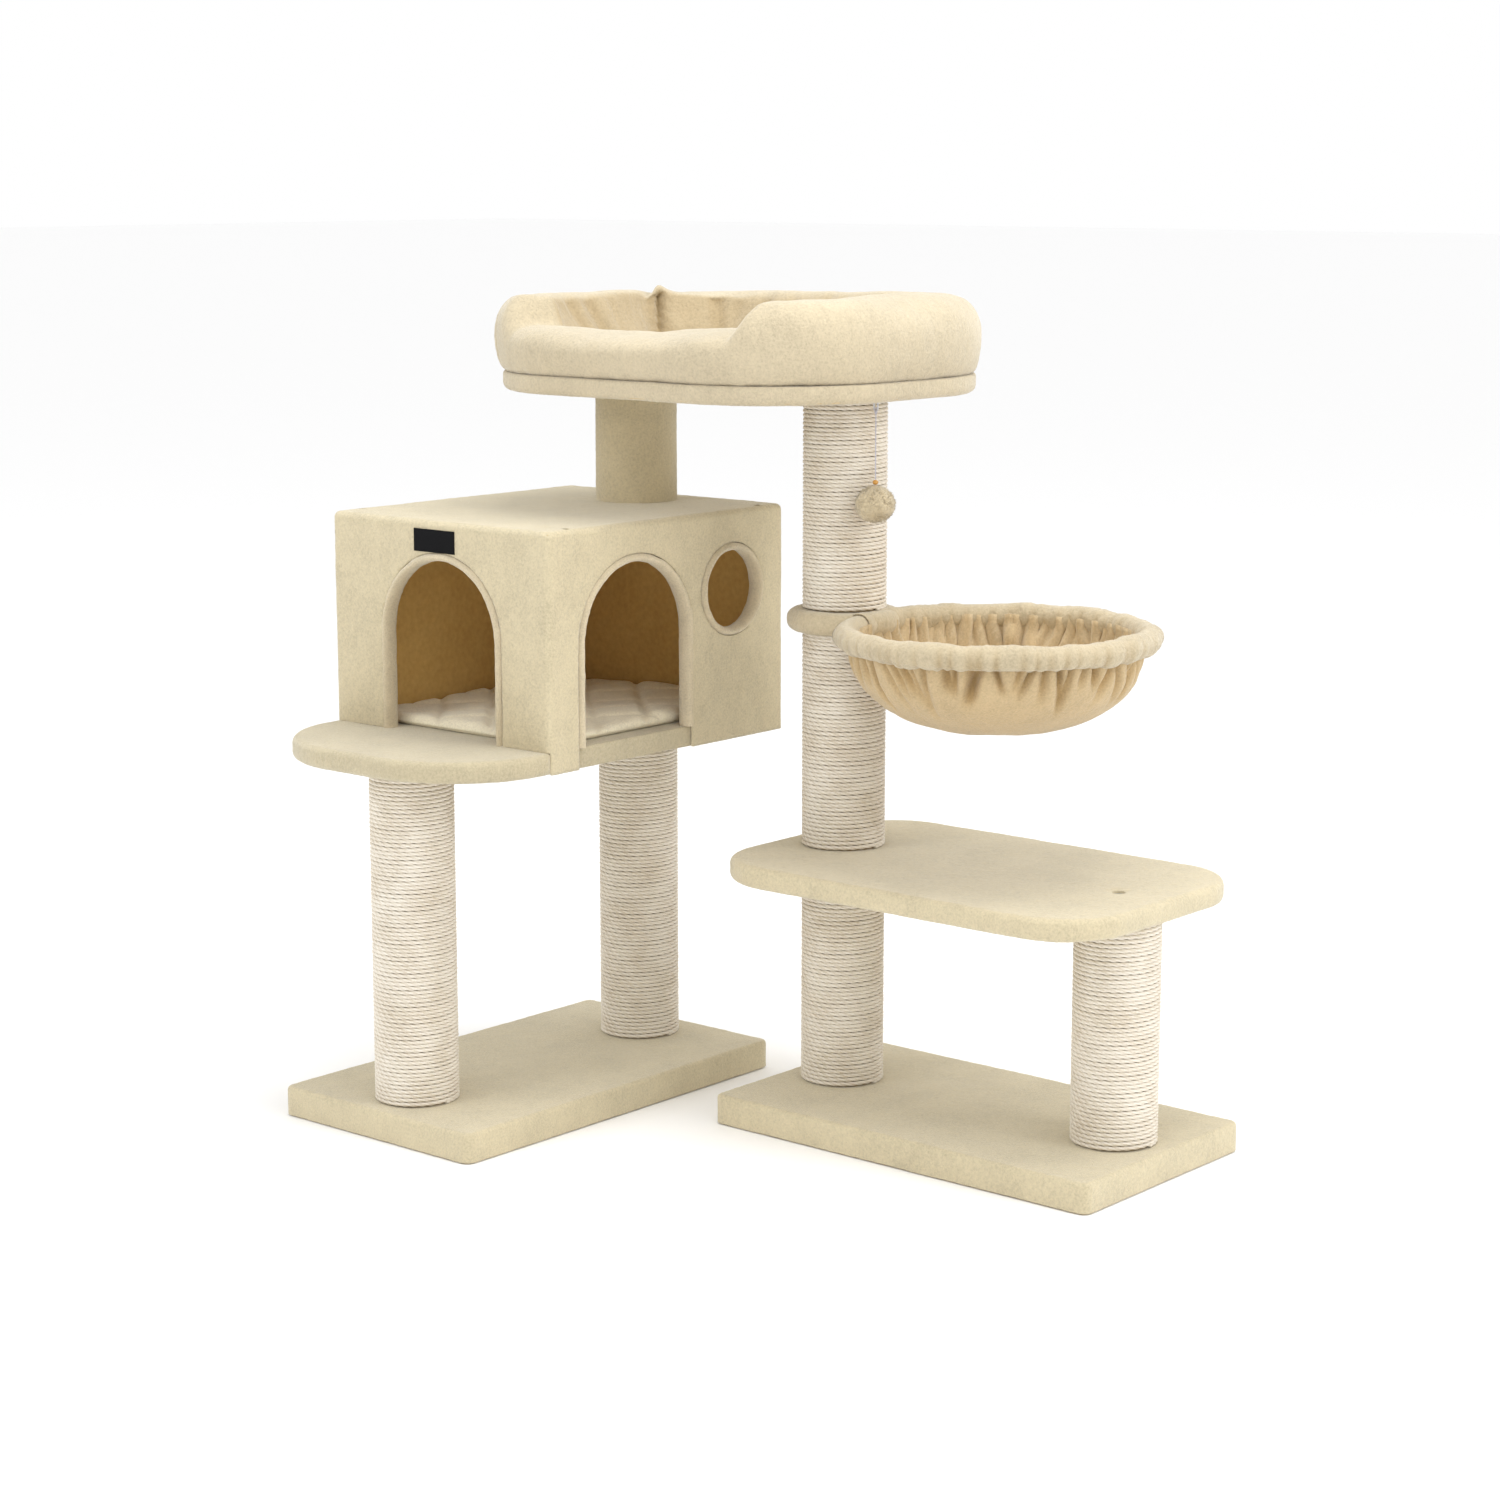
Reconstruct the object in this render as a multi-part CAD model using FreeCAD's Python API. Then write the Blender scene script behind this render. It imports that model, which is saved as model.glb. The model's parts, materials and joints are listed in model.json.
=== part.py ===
import FreeCAD, Part
import math
import os

# Cat tree: two base boards set in an L, sisal posts, a two-door cave, a shelf, a hanging basket
# and a bolstered perch. Millimetres, +Z up. While it is laid out, the corner post's axis is the
# zero of X and Y: the cave's base runs from there towards -Y and the shelf's base lies towards +X.
# save_parts() then moves everything so that the origin is the middle of the footprint, on the floor.

V = FreeCAD.Vector
UP = V(0, 0, 1)

# ---- posts
POST_DIAMETER = 90.0          # over the rope or plush
ROPE_DIAMETER = 5.0
TUBE_WALL = 4.0
PLUG_THICKNESS = 20.0
FIT_GAP = 0.1                 # between pieces that are pushed together
OVERCUT = 1.0                 # how far a cut runs past the face it opens
CAVE_POST_PITCH = 352.0       # front post to corner post
COLUMN_PITCH = 297.0          # corner post to tall post
SHELF_POST_PITCH = 354.0      # tall post to short post
CAVE_POST_LENGTH = 359.0
NECK_POST_LENGTH = 128.0
SHELF_POST_LENGTH = 236.0
MIDDLE_POST_LENGTH = 231.5

# ---- bases
BASE_LENGTH = 480.0
BASE_WIDTH = 280.0
BASE_BOARD = 29.0
BASE_PLUSH = 3.0
BASE_CORNER = 9.0
HEM_LIFT = 1.0                # the plush stops short of the floor

# ---- cave
CAVE_WIDTH = 322.0
CAVE_DEPTH = 375.0
CAVE_HEIGHT = 251.0           # underside of the floor to the top of the roof
CAVE_SIDE_SHIFT = -8.0        # cave centre from the posts' line
CAVE_BACK_REACH = 73.0        # back of the cave behind the corner post
PORCH_REACH = 80.0            # front edge of the floor before the front post
PORCH_CORNER = 120.0
CAVE_EDGE = 8.0               # round of the upright edges
CAVE_ROOF_EDGE = 7.0
CAVE_FLOOR_BOARD = 18.0
CAVE_WALL = 12.0
CAVE_ROOF_BOARD = 15.0
CAVE_PLUSH = 3.0
FLOOR_PLUSH = 2.5
DOOR_WIDTH = 160.0
DOOR_HEIGHT = 186.0
FRONT_DOOR_SHIFT = 4.0        # door centre from the cave's centre, towards +X
SIDE_DOOR_FROM_BACK = 242.0
WINDOW_DIAMETER = 84.0
WINDOW_FROM_BACK = 87.5
WINDOW_RISE = 142.0           # window centre above the cave floor
TRIM_WIDTH = 9.0
TRIM_PROUD = 4.0
LABEL_WIDTH = 60.0
LABEL_HEIGHT = 24.0
LABEL_THICKNESS = 1.2
LABEL_RISE = 207.0            # label centre above the cave floor
LABEL_SHIFT = -3.0            # label centre from the cave's centre
MAT_THICKNESS = 20.0
MAT_GAP = 7.0                 # mat edge to cave wall
MAT_CORNER = 35.0

# ---- shelf
SHELF_LENGTH = 485.0
SHELF_DEPTH = 311.0
SHELF_BOARD = 18.0
SHELF_PLUSH = 2.75
SHELF_CORNER = 79.0
SHELF_SHIFT = -4.0            # shelf centre from the middle of its two posts

# ---- basket
BASKET_RING_RADIUS = 155.5    # middle of the ring
BASKET_FRAME = 16.0           # thickness of the plywood ring
BASKET_FRAME_WIDTH = 14.0
BASKET_EYE_RADIUS = 57.0      # plywood eye round the post
BASKET_PLUSH = 4.0
BASKET_SLEEVE_ROUND = 5.0
BASKET_DEPTH = 86.0           # pouch below the ring
POUCH_WALL = 5.0
POUCH_SIDE_ROUND = 60.0
POUCH_INSET = 3.0             # outside of the pouch from the middle of the ring
POUCH_POST_GAP = 1.5

# ---- perch
PERCH_LENGTH = 488.0
PERCH_DEPTH = 400.0
PERCH_CORNER = 150.0
PERCH_BOARD = 15.0
PERCH_PLUSH = 2.5
BOLSTER_WIDTH = 75.0
BOLSTER_HEIGHT = 86.0
BOLSTER_ROUND = 30.0
LIP_HEIGHT = 44.0             # low part of the bolster at the front
LIP_ROUND = 18.0
LIP_FROM_LEFT = 90.0          # left end of the low part from the perch's left edge
LIP_LENGTH = 305.0
CUSHION_THICKNESS = 30.0
CUSHION_GAP = 6.0
CUSHION_ROUND = 11.0

# ---- toy
TOY_REACH = 74.0              # tall post to the string
TOY_ANGLE = -26.5             # direction from the tall post, degrees from +X
BALL_DIAMETER = 45.0
BALL_TOP_DROP = 85.5          # perch underside to the top of the ball
STRING_DIAMETER = 1.3
STAPLE_WIRE = 1.6
STAPLE_WIDTH = 9.0
STAPLE_DROP = 9.0             # perch underside to the staple's crossbar
STAPLE_BITE = 8.0             # how deep its legs are driven in
LOOP_CLEARANCE = 0.3
BEAD_DIAMETER = 6.0
BEAD_HEIGHT = 4.5

# ---- fasteners
BOLT_DIAMETER = 8.0
BOLT_CLEARANCE = 0.5
HEAD_DIAMETER = 14.0
HEAD_HEIGHT = 5.0
WASHER_DIAMETER = 20.0
WASHER_THICKNESS = 1.6
SINK_CLEARANCE = 1.0          # round the washer in its counterbore
SINK_SPARE = 1.0              # head below the surface of the board
BOLT_GRIP = 16.0              # length of thread inside a post plug
INSERT_DIAMETER = 12.0
INSERT_LENGTH = 12.0
SCREW_DIAMETER = 3.5
SCREW_LENGTH = 35.0
SCREW_HEAD_DIAMETER = 8.0
SCREW_HEAD_HEIGHT = 2.5
SCREW_INSET = 36.0            # screws from the cave's corners

# ---- levels, from the floor up
BASE_TOP = BASE_BOARD + BASE_PLUSH
CAVE_BOTTOM = BASE_TOP + CAVE_POST_LENGTH
CAVE_FLOOR_TOP = CAVE_BOTTOM + CAVE_FLOOR_BOARD + 2 * FLOOR_PLUSH
CAVE_TOP = CAVE_BOTTOM + CAVE_HEIGHT
ROOF_BOARD_TOP = CAVE_TOP - CAVE_PLUSH
ROOF_BOARD_BOTTOM = ROOF_BOARD_TOP - CAVE_ROOF_BOARD
SHELF_BOTTOM = BASE_TOP + SHELF_POST_LENGTH
SHELF_TOP = SHELF_BOTTOM + SHELF_BOARD + 2 * SHELF_PLUSH
EYE_BOTTOM = SHELF_TOP + MIDDLE_POST_LENGTH
EYE_TOP = EYE_BOTTOM + BASKET_FRAME + 2 * BASKET_PLUSH
PERCH_BOTTOM = CAVE_TOP + NECK_POST_LENGTH
PERCH_TOP = PERCH_BOTTOM + PERCH_BOARD + 2 * PERCH_PLUSH

# ---- places in plan
FRONT_POST = (0.0, -CAVE_POST_PITCH)
CORNER_POST = (0.0, 0.0)
TALL_POST = (COLUMN_PITCH, 0.0)
SHORT_POST = (COLUMN_PITCH + SHELF_POST_PITCH, 0.0)
POST_RADIUS = POST_DIAMETER / 2
TUBE_RADIUS = POST_RADIUS - ROPE_DIAMETER
PLUG_RADIUS = TUBE_RADIUS - TUBE_WALL - FIT_GAP
POUCH_RADIUS = BASKET_RING_RADIUS - POUCH_INSET
CAVE_X0 = CAVE_SIDE_SHIFT - CAVE_WIDTH / 2
CAVE_X1 = CAVE_SIDE_SHIFT + CAVE_WIDTH / 2
CAVE_Y1 = CAVE_BACK_REACH
CAVE_Y0 = CAVE_Y1 - CAVE_DEPTH
PORCH_Y0 = FRONT_POST[1] - PORCH_REACH
SHELF_X = (TALL_POST[0] + SHORT_POST[0]) / 2 + SHELF_SHIFT
BASKET_X = TALL_POST[0] + POST_RADIUS + POUCH_POST_GAP + POUCH_RADIUS
PERCH_X = (CORNER_POST[0] + TALL_POST[0]) / 2
PERCH_Y = CORNER_POST[1]
TOY_X = TALL_POST[0] + TOY_REACH * math.cos(math.radians(TOY_ANGLE))
TOY_Y = TALL_POST[1] + TOY_REACH * math.sin(math.radians(TOY_ANGLE))
STAPLE_Z = PERCH_BOTTOM - STAPLE_DROP
BALL_TOP = PERCH_BOTTOM - BALL_TOP_DROP
BOLT_HOLE = BOLT_DIAMETER / 2 + BOLT_CLEARANCE
SINK_RADIUS = WASHER_DIAMETER / 2 + SINK_CLEARANCE
SINK_DEPTH = WASHER_THICKNESS + HEAD_HEIGHT + SINK_SPARE

# ---- the finished pieces, by node name
PARTS = {}


# ---- shapes used by several pieces
def cylinder(x, y, z0, z1, radius):
    return Part.makeCylinder(radius, z1 - z0, V(x, y, z0), UP)


def sleeve(x, y, z0, z1, outer, inner):
    return cylinder(x, y, z0, z1, outer).cut(cylinder(x, y, z0 - OVERCUT, z1 + OVERCUT, inner))


def block(x0, x1, y0, y1, z0, z1):
    return Part.makeBox(x1 - x0, y1 - y0, z1 - z0, V(x0, y0, z0))


def plate(x0, x1, y0, y1, z0, z1, front, back=None):
    """A flat plate with rounded corners: front is their radius towards -Y, back towards +Y."""
    back = front if back is None else back
    corners = [
        (x0 + front, y0 + front, front, 180),
        (x1 - front, y0 + front, front, 270),
        (x1 - back, y1 - back, back, 0),
        (x0 + back, y1 - back, back, 90),
    ]
    arcs = []
    for cx, cy, radius, start in corners:
        turn = [math.radians(start + step) for step in (0, 45, 90)]
        points = [V(cx + radius * math.cos(a), cy + radius * math.sin(a), z0) for a in turn]
        arcs.append(Part.Arc(*points).toShape())
    edges = []
    for arc, following in zip(arcs, arcs[1:] + arcs[:1]):
        edges.append(arc)
        gap_start = arc.Vertexes[-1].Point
        gap_end = following.Vertexes[0].Point
        if gap_start.distanceToPoint(gap_end) > 1e-6:
            edges.append(Part.LineSegment(gap_start, gap_end).toShape())
    return Part.Face(Part.Wire(edges)).extrude(V(0, 0, z1 - z0))


def round_level(shape, z, radius):
    """Fillets every edge that lies wholly at height z."""
    edges = [e for e in shape.Edges if all(abs(p.Point.z - z) < 1e-4 for p in e.Vertexes)]
    level = [e for e in edges if abs(e.CenterOfMass.z - z) < 1e-4]
    return shape.makeFillet(radius, level)


def grown_plate(centre_x, centre_y, length, depth, corner, grow, z0, z1):
    """A plate of the given plan size, larger all round by grow, or smaller where grow is negative."""
    x0 = centre_x - length / 2 - grow
    x1 = centre_x + length / 2 + grow
    y0 = centre_y - depth / 2 - grow
    y1 = centre_y + depth / 2 + grow
    return plate(x0, x1, y0, y1, z0, z1, corner + grow)


def bolt(x, y, seat, end):
    """A bolt whose head rests on its seat and whose shank ends at height end, above or below it."""
    way = 1 if end > seat else -1
    head_end = seat - way * HEAD_HEIGHT
    head = cylinder(x, y, min(seat, head_end), max(seat, head_end), HEAD_DIAMETER / 2)
    shank = cylinder(x, y, min(seat, end), max(seat, end), BOLT_DIAMETER / 2)
    return head.fuse(shank).removeSplitter()


def washer(x, y, face, way):
    """A washer lying on face; way is +1 where the bolt points up and -1 where it points down."""
    other = face - way * WASHER_THICKNESS
    outer = WASHER_DIAMETER / 2
    return sleeve(x, y, min(face, other), max(face, other), outer, BOLT_HOLE)


def keep(name, *solids):
    PARTS[name] = solids[0] if len(solids) == 1 else Part.makeCompound(list(solids))


# ---- posts
SEGMENTS = {
    "front_post": (FRONT_POST, BASE_TOP, CAVE_BOTTOM, "rope"),
    "corner_post": (CORNER_POST, BASE_TOP, CAVE_BOTTOM, "rope"),
    "neck_post": (CORNER_POST, CAVE_TOP, PERCH_BOTTOM, "plush"),
    "short_post": (SHORT_POST, BASE_TOP, SHELF_BOTTOM, "rope"),
    "tall_post_lower": (TALL_POST, BASE_TOP, SHELF_BOTTOM, "rope"),
    "tall_post_middle": (TALL_POST, SHELF_TOP, EYE_BOTTOM, "rope"),
    "tall_post_upper": (TALL_POST, EYE_TOP, PERCH_BOTTOM, "rope"),
}


def make_posts():
    """Each post segment is a cardboard tube with a rope or plush skin and a plug in each end."""
    plugs = []
    hole = BOLT_DIAMETER / 2 + FIT_GAP
    for name, ((x, y), z0, z1, skin) in SEGMENTS.items():
        keep(name + "_tube", sleeve(x, y, z0, z1, TUBE_RADIUS, TUBE_RADIUS - TUBE_WALL))
        keep(name + "_" + skin, sleeve(x, y, z0, z1, POST_RADIUS, TUBE_RADIUS + FIT_GAP))
        plugs.append(sleeve(x, y, z0, z0 + PLUG_THICKNESS, PLUG_RADIUS, hole))
        plugs.append(sleeve(x, y, z1 - PLUG_THICKNESS, z1, PLUG_RADIUS, hole))
    keep("post_plugs", *plugs)


# ---- bases
def make_base(name, centre_x, centre_y, length_x, length_y, posts):
    """A board covered on top and sides, sunk from below for one bolt under each post."""
    half_x = length_x / 2
    half_y = length_y / 2
    x0, x1 = centre_x - half_x, centre_x + half_x
    y0, y1 = centre_y - half_y, centre_y + half_y
    skin = BASE_PLUSH
    corner = BASE_CORNER - skin
    cover = plate(x0, x1, y0, y1, HEM_LIFT, BASE_TOP, BASE_CORNER)
    cover = round_level(cover, BASE_TOP, BASE_PLUSH * 1.5)
    board = plate(x0 + skin, x1 - skin, y0 + skin, y1 - skin, 0, BASE_BOARD, corner)
    cover = cover.cut(board)
    for x, y in posts:
        drill = cylinder(x, y, -OVERCUT, BASE_TOP + OVERCUT, BOLT_HOLE)
        cover = cover.cut(drill)
        board = board.cut(drill)
        board = board.cut(cylinder(x, y, -OVERCUT, SINK_DEPTH, SINK_RADIUS))
    keep(name + "_board", board)
    keep(name + "_cover", cover)


def make_bases():
    cave_posts = [FRONT_POST, CORNER_POST]
    shelf_posts = [TALL_POST, SHORT_POST]
    middle_y = (FRONT_POST[1] + CORNER_POST[1]) / 2
    middle_x = (TALL_POST[0] + SHORT_POST[0]) / 2
    make_base("cave_base", CORNER_POST[0], middle_y, BASE_WIDTH, BASE_LENGTH, cave_posts)
    make_base("shelf_base", middle_x, TALL_POST[1], BASE_LENGTH, BASE_WIDTH, shelf_posts)
    feet = cave_posts + shelf_posts
    seat = SINK_DEPTH - WASHER_THICKNESS
    keep("base_bolts", *[bolt(x, y, seat, BASE_TOP + BOLT_GRIP) for x, y in feet])
    keep("base_washers", *[washer(x, y, SINK_DEPTH, 1) for x, y in feet])


# ---- cave
def arch(centre, width, height, floor, along, from_depth, to_depth):
    """A round-topped door as a solid. It is drawn along X or Y and runs through the depth given."""
    radius = width / 2
    spring = floor + height - radius
    low = floor - OVERCUT

    def at(u, z):
        return V(u, from_depth, z) if along == "x" else V(from_depth, u, z)

    left, right = centre - radius, centre + radius
    wire = Part.Wire([
        Part.LineSegment(at(left, low), at(right, low)).toShape(),
        Part.LineSegment(at(right, low), at(right, spring)).toShape(),
        Part.Arc(at(right, spring), at(centre, spring + radius), at(left, spring)).toShape(),
        Part.LineSegment(at(left, spring), at(left, low)).toShape(),
    ])
    through = to_depth - from_depth
    return Part.Face(wire).extrude(V(0, through, 0) if along == "x" else V(through, 0, 0))


def hole_in_side(y, z, radius, x0, x1):
    return Part.makeCylinder(radius, x1 - x0, V(x0, y, z), V(1, 0, 0))


FRONT_DOOR_X = CAVE_SIDE_SHIFT + FRONT_DOOR_SHIFT
SIDE_DOOR_Y = CAVE_Y1 - SIDE_DOOR_FROM_BACK
WINDOW_Y = CAVE_Y1 - WINDOW_FROM_BACK
WINDOW_Z = CAVE_FLOOR_TOP + WINDOW_RISE
WALL_X0 = CAVE_X0 + CAVE_PLUSH
WALL_X1 = CAVE_X1 - CAVE_PLUSH
WALL_Y0 = CAVE_Y0 + CAVE_PLUSH
WALL_Y1 = CAVE_Y1 - CAVE_PLUSH
ROOM_X0 = WALL_X0 + CAVE_WALL
ROOM_X1 = WALL_X1 - CAVE_WALL
ROOM_Y0 = WALL_Y0 + CAVE_WALL
ROOM_Y1 = WALL_Y1 - CAVE_WALL


def cave_cuts():
    """The three openings as cut in the walls and the cover, before the trims fill their rims."""
    width = DOOR_WIDTH + 2 * TRIM_WIDTH
    height = DOOR_HEIGHT + TRIM_WIDTH
    floor = CAVE_FLOOR_TOP
    front = arch(FRONT_DOOR_X, width, height, floor, "x", CAVE_Y0 - OVERCUT, ROOM_Y0 + OVERCUT)
    side = arch(SIDE_DOOR_Y, width, height, floor, "y", ROOM_X1 - OVERCUT, CAVE_X1 + OVERCUT)
    window_radius = WINDOW_DIAMETER / 2 + TRIM_WIDTH
    window = hole_in_side(WINDOW_Y, WINDOW_Z, window_radius, ROOM_X1 - OVERCUT, CAVE_X1 + OVERCUT)
    return front, side, window


def make_cave_floor():
    """The floor carries the walls and reaches forward over the front post as a round-cornered porch."""
    z0, z1 = CAVE_BOTTOM, CAVE_FLOOR_TOP
    skin = FLOOR_PLUSH
    cover = plate(CAVE_X0, CAVE_X1, PORCH_Y0, CAVE_Y1, z0, z1, PORCH_CORNER, CAVE_EDGE)
    walled = block(WALL_X0, WALL_X1, CAVE_Y0, WALL_Y1, z0, z1)
    porch = block(CAVE_X0, CAVE_X1, PORCH_Y0, CAVE_Y0, z0, z1)
    cover = cover.common(walled.fuse(porch)).removeSplitter()
    board = plate(
        WALL_X0 + skin, WALL_X1 - skin, PORCH_Y0 + skin, WALL_Y1 - skin,
        z0 + skin, z1 - skin, PORCH_CORNER - skin, CAVE_EDGE,
    )
    cover = cover.cut(board)
    studs = []
    inserts = []
    for x, y in (FRONT_POST, CORNER_POST):
        board_face = z0 + skin
        insert_top = board_face + INSERT_LENGTH
        cover = cover.cut(cylinder(x, y, z0 - OVERCUT, board_face + OVERCUT, BOLT_HOLE))
        pocket = INSERT_DIAMETER / 2 + FIT_GAP
        thread = BOLT_DIAMETER / 2 + FIT_GAP
        board = board.cut(cylinder(x, y, board_face - OVERCUT, insert_top, pocket))
        inserts.append(sleeve(x, y, board_face, insert_top, INSERT_DIAMETER / 2, thread))
        studs.append(cylinder(x, y, z0 - BOLT_GRIP, insert_top, BOLT_DIAMETER / 2))
    keep("cave_floor_board", board)
    keep("cave_floor_cover", cover)
    keep("floor_inserts", *inserts)
    keep("floor_studs", *studs)


def screw_places():
    """Screws through the roof into the side walls, two to a wall."""
    left = WALL_X0 + CAVE_WALL / 2
    right = WALL_X1 - CAVE_WALL / 2
    return [(x, y) for x in (left, right) for y in (CAVE_Y0 + SCREW_INSET, CAVE_Y1 - SCREW_INSET)]


def screw(x, y, top):
    """A wood screw pointing down with its flat head flush at height top."""
    radius = SCREW_DIAMETER / 2
    head_bottom = top - SCREW_HEAD_HEIGHT
    wide = SCREW_HEAD_DIAMETER / 2
    head = Part.makeCone(radius, wide, SCREW_HEAD_HEIGHT, V(x, y, head_bottom), UP)
    shank = cylinder(x, y, top - SCREW_LENGTH, head_bottom, radius)
    return head.fuse(shank).removeSplitter()


def make_cave_walls():
    front_cut, side_cut, window_cut = cave_cuts()
    z0, z1 = CAVE_FLOOR_TOP, ROOF_BOARD_BOTTOM
    neck = cylinder(*CORNER_POST, z1 - OVERCUT, CAVE_TOP + OVERCUT, BOLT_HOLE)
    left = block(WALL_X0, ROOM_X0, WALL_Y0, WALL_Y1, z0, z1)
    side = block(ROOM_X1, WALL_X1, WALL_Y0, WALL_Y1, z0, z1).cut(side_cut).cut(window_cut)
    front = block(ROOM_X0, ROOM_X1, WALL_Y0, ROOM_Y0, z0, z1).cut(front_cut)
    back = block(ROOM_X0, ROOM_X1, ROOM_Y1, WALL_Y1, z0, z1)
    roof = block(WALL_X0, WALL_X1, WALL_Y0, WALL_Y1, z1, ROOF_BOARD_TOP).cut(neck)
    shell = plate(CAVE_X0, CAVE_X1, CAVE_Y0, CAVE_Y1, CAVE_BOTTOM, CAVE_TOP, CAVE_EDGE)
    shell = round_level(shell, CAVE_TOP, CAVE_ROOF_EDGE)
    below = CAVE_BOTTOM - OVERCUT
    shell = shell.cut(block(WALL_X0, WALL_X1, WALL_Y0, WALL_Y1, below, ROOF_BOARD_TOP))
    porch_side = block(CAVE_X0 - OVERCUT, CAVE_X1 + OVERCUT, CAVE_Y0 - OVERCUT, WALL_Y0, below, z0)
    shell = shell.cut(porch_side)
    shell = shell.cut(front_cut).cut(side_cut).cut(window_cut).cut(neck)
    sill_half = DOOR_WIDTH / 2 + TRIM_WIDTH
    sill_y0, sill_y1 = SIDE_DOOR_Y - sill_half, SIDE_DOOR_Y + sill_half
    sill = block(ROOM_X1, CAVE_X1 + OVERCUT, sill_y0, sill_y1, below, z0 + OVERCUT)
    shell = shell.cut(sill)
    screws = []
    for x, y in screw_places():
        hole = screw(x, y, ROOF_BOARD_TOP)
        left = left.cut(hole)
        side = side.cut(hole)
        roof = roof.cut(hole)
        mouth = cylinder(x, y, ROOF_BOARD_TOP - OVERCUT, CAVE_TOP + OVERCUT, SCREW_HEAD_DIAMETER / 2)
        shell = shell.cut(mouth)
        screws.append(hole)
    keep("cave_left_wall", left)
    keep("cave_side_wall", side)
    keep("cave_front_wall", front)
    keep("cave_back_wall", back)
    keep("cave_roof_board", roof)
    keep("cave_cover", shell)
    keep("roof_screws", *screws)


def make_cave_trims():
    """Rolled plush rims that fill the edge of each opening and stand a little proud of the wall."""
    outer_width = DOOR_WIDTH + 2 * (TRIM_WIDTH - FIT_GAP)
    outer_height = DOOR_HEIGHT + TRIM_WIDTH - FIT_GAP
    floor = CAVE_FLOOR_TOP
    room = block(CAVE_X0, CAVE_X1 + TRIM_PROUD, CAVE_Y0 - TRIM_PROUD, CAVE_Y1, floor, CAVE_TOP)
    front_face, side_face = CAVE_Y0 - TRIM_PROUD, CAVE_X1 + TRIM_PROUD
    front_in, side_in = ROOM_Y0 + OVERCUT, ROOM_X1 - OVERCUT
    front_out, side_out = front_face - OVERCUT, side_face + OVERCUT
    front = arch(FRONT_DOOR_X, outer_width, outer_height, floor, "x", front_face, ROOM_Y0)
    front = front.cut(arch(FRONT_DOOR_X, DOOR_WIDTH, DOOR_HEIGHT, floor, "x", front_out, front_in))
    side = arch(SIDE_DOOR_Y, outer_width, outer_height, floor, "y", ROOM_X1, side_face)
    side = side.cut(arch(SIDE_DOOR_Y, DOOR_WIDTH, DOOR_HEIGHT, floor, "y", side_in, side_out))
    rim = WINDOW_DIAMETER / 2
    window = hole_in_side(WINDOW_Y, WINDOW_Z, rim + TRIM_WIDTH - FIT_GAP, ROOM_X1, side_face)
    window = window.cut(hole_in_side(WINDOW_Y, WINDOW_Z, rim, side_in, side_out))
    keep("front_door_trim", front.common(room))
    keep("side_door_trim", side.common(room))
    keep("window_trim", window)


def make_cave_fittings():
    label_x = CAVE_SIDE_SHIFT + LABEL_SHIFT
    label_z = CAVE_FLOOR_TOP + LABEL_RISE
    label = block(
        label_x - LABEL_WIDTH / 2, label_x + LABEL_WIDTH / 2,
        CAVE_Y0 - LABEL_THICKNESS, CAVE_Y0,
        label_z - LABEL_HEIGHT / 2, label_z + LABEL_HEIGHT / 2,
    )
    mat_top = CAVE_FLOOR_TOP + MAT_THICKNESS
    mat = plate(
        ROOM_X0 + MAT_GAP, ROOM_X1 - MAT_GAP, ROOM_Y0 + MAT_GAP, ROOM_Y1 - MAT_GAP,
        CAVE_FLOOR_TOP, mat_top, MAT_CORNER,
    )
    keep("cave_label", label)
    keep("cave_mat", round_level(mat, mat_top, MAT_THICKNESS * 0.4))


# ---- shelf
def shelf_outline(grow, z0, z1):
    """The plan of the shelf as a plate, larger all round by grow."""
    return grown_plate(SHELF_X, 0, SHELF_LENGTH, SHELF_DEPTH, SHELF_CORNER, grow, z0, z1)


def make_shelf():
    cover = shelf_outline(0, SHELF_BOTTOM, SHELF_TOP)
    board_top = SHELF_TOP - SHELF_PLUSH
    board = shelf_outline(-SHELF_PLUSH, SHELF_BOTTOM + SHELF_PLUSH, board_top)
    cover = cover.cut(board)
    for x, y in (TALL_POST, SHORT_POST):
        drill = cylinder(x, y, SHELF_BOTTOM - OVERCUT, SHELF_TOP + OVERCUT, BOLT_HOLE)
        cover = cover.cut(drill)
        board = board.cut(drill)
    sink = cylinder(*SHORT_POST, board_top - SINK_DEPTH, board_top + OVERCUT, SINK_RADIUS)
    mouth = cylinder(*SHORT_POST, board_top - OVERCUT, SHELF_TOP + OVERCUT, HEAD_DIAMETER / 2)
    keep("shelf_board", board.cut(sink))
    keep("shelf_cover", cover.cut(mouth))


# ---- basket
def rounded_ring(centre_x, middle_radius, width, z0, z1, corner):
    """A ring of rounded-rectangle section about a vertical axis."""
    section = plate(middle_radius - width / 2, middle_radius + width / 2, z0, z1, 0, OVERCUT, corner)
    face = [f for f in section.Faces if abs(f.CenterOfMass.z) < 1e-6][0].copy()
    face.rotate(V(0, 0, 0), V(1, 0, 0), 90)
    ring = face.revolve(V(0, 0, 0), UP, 360)
    ring.translate(V(centre_x, 0, 0))
    return ring


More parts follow.
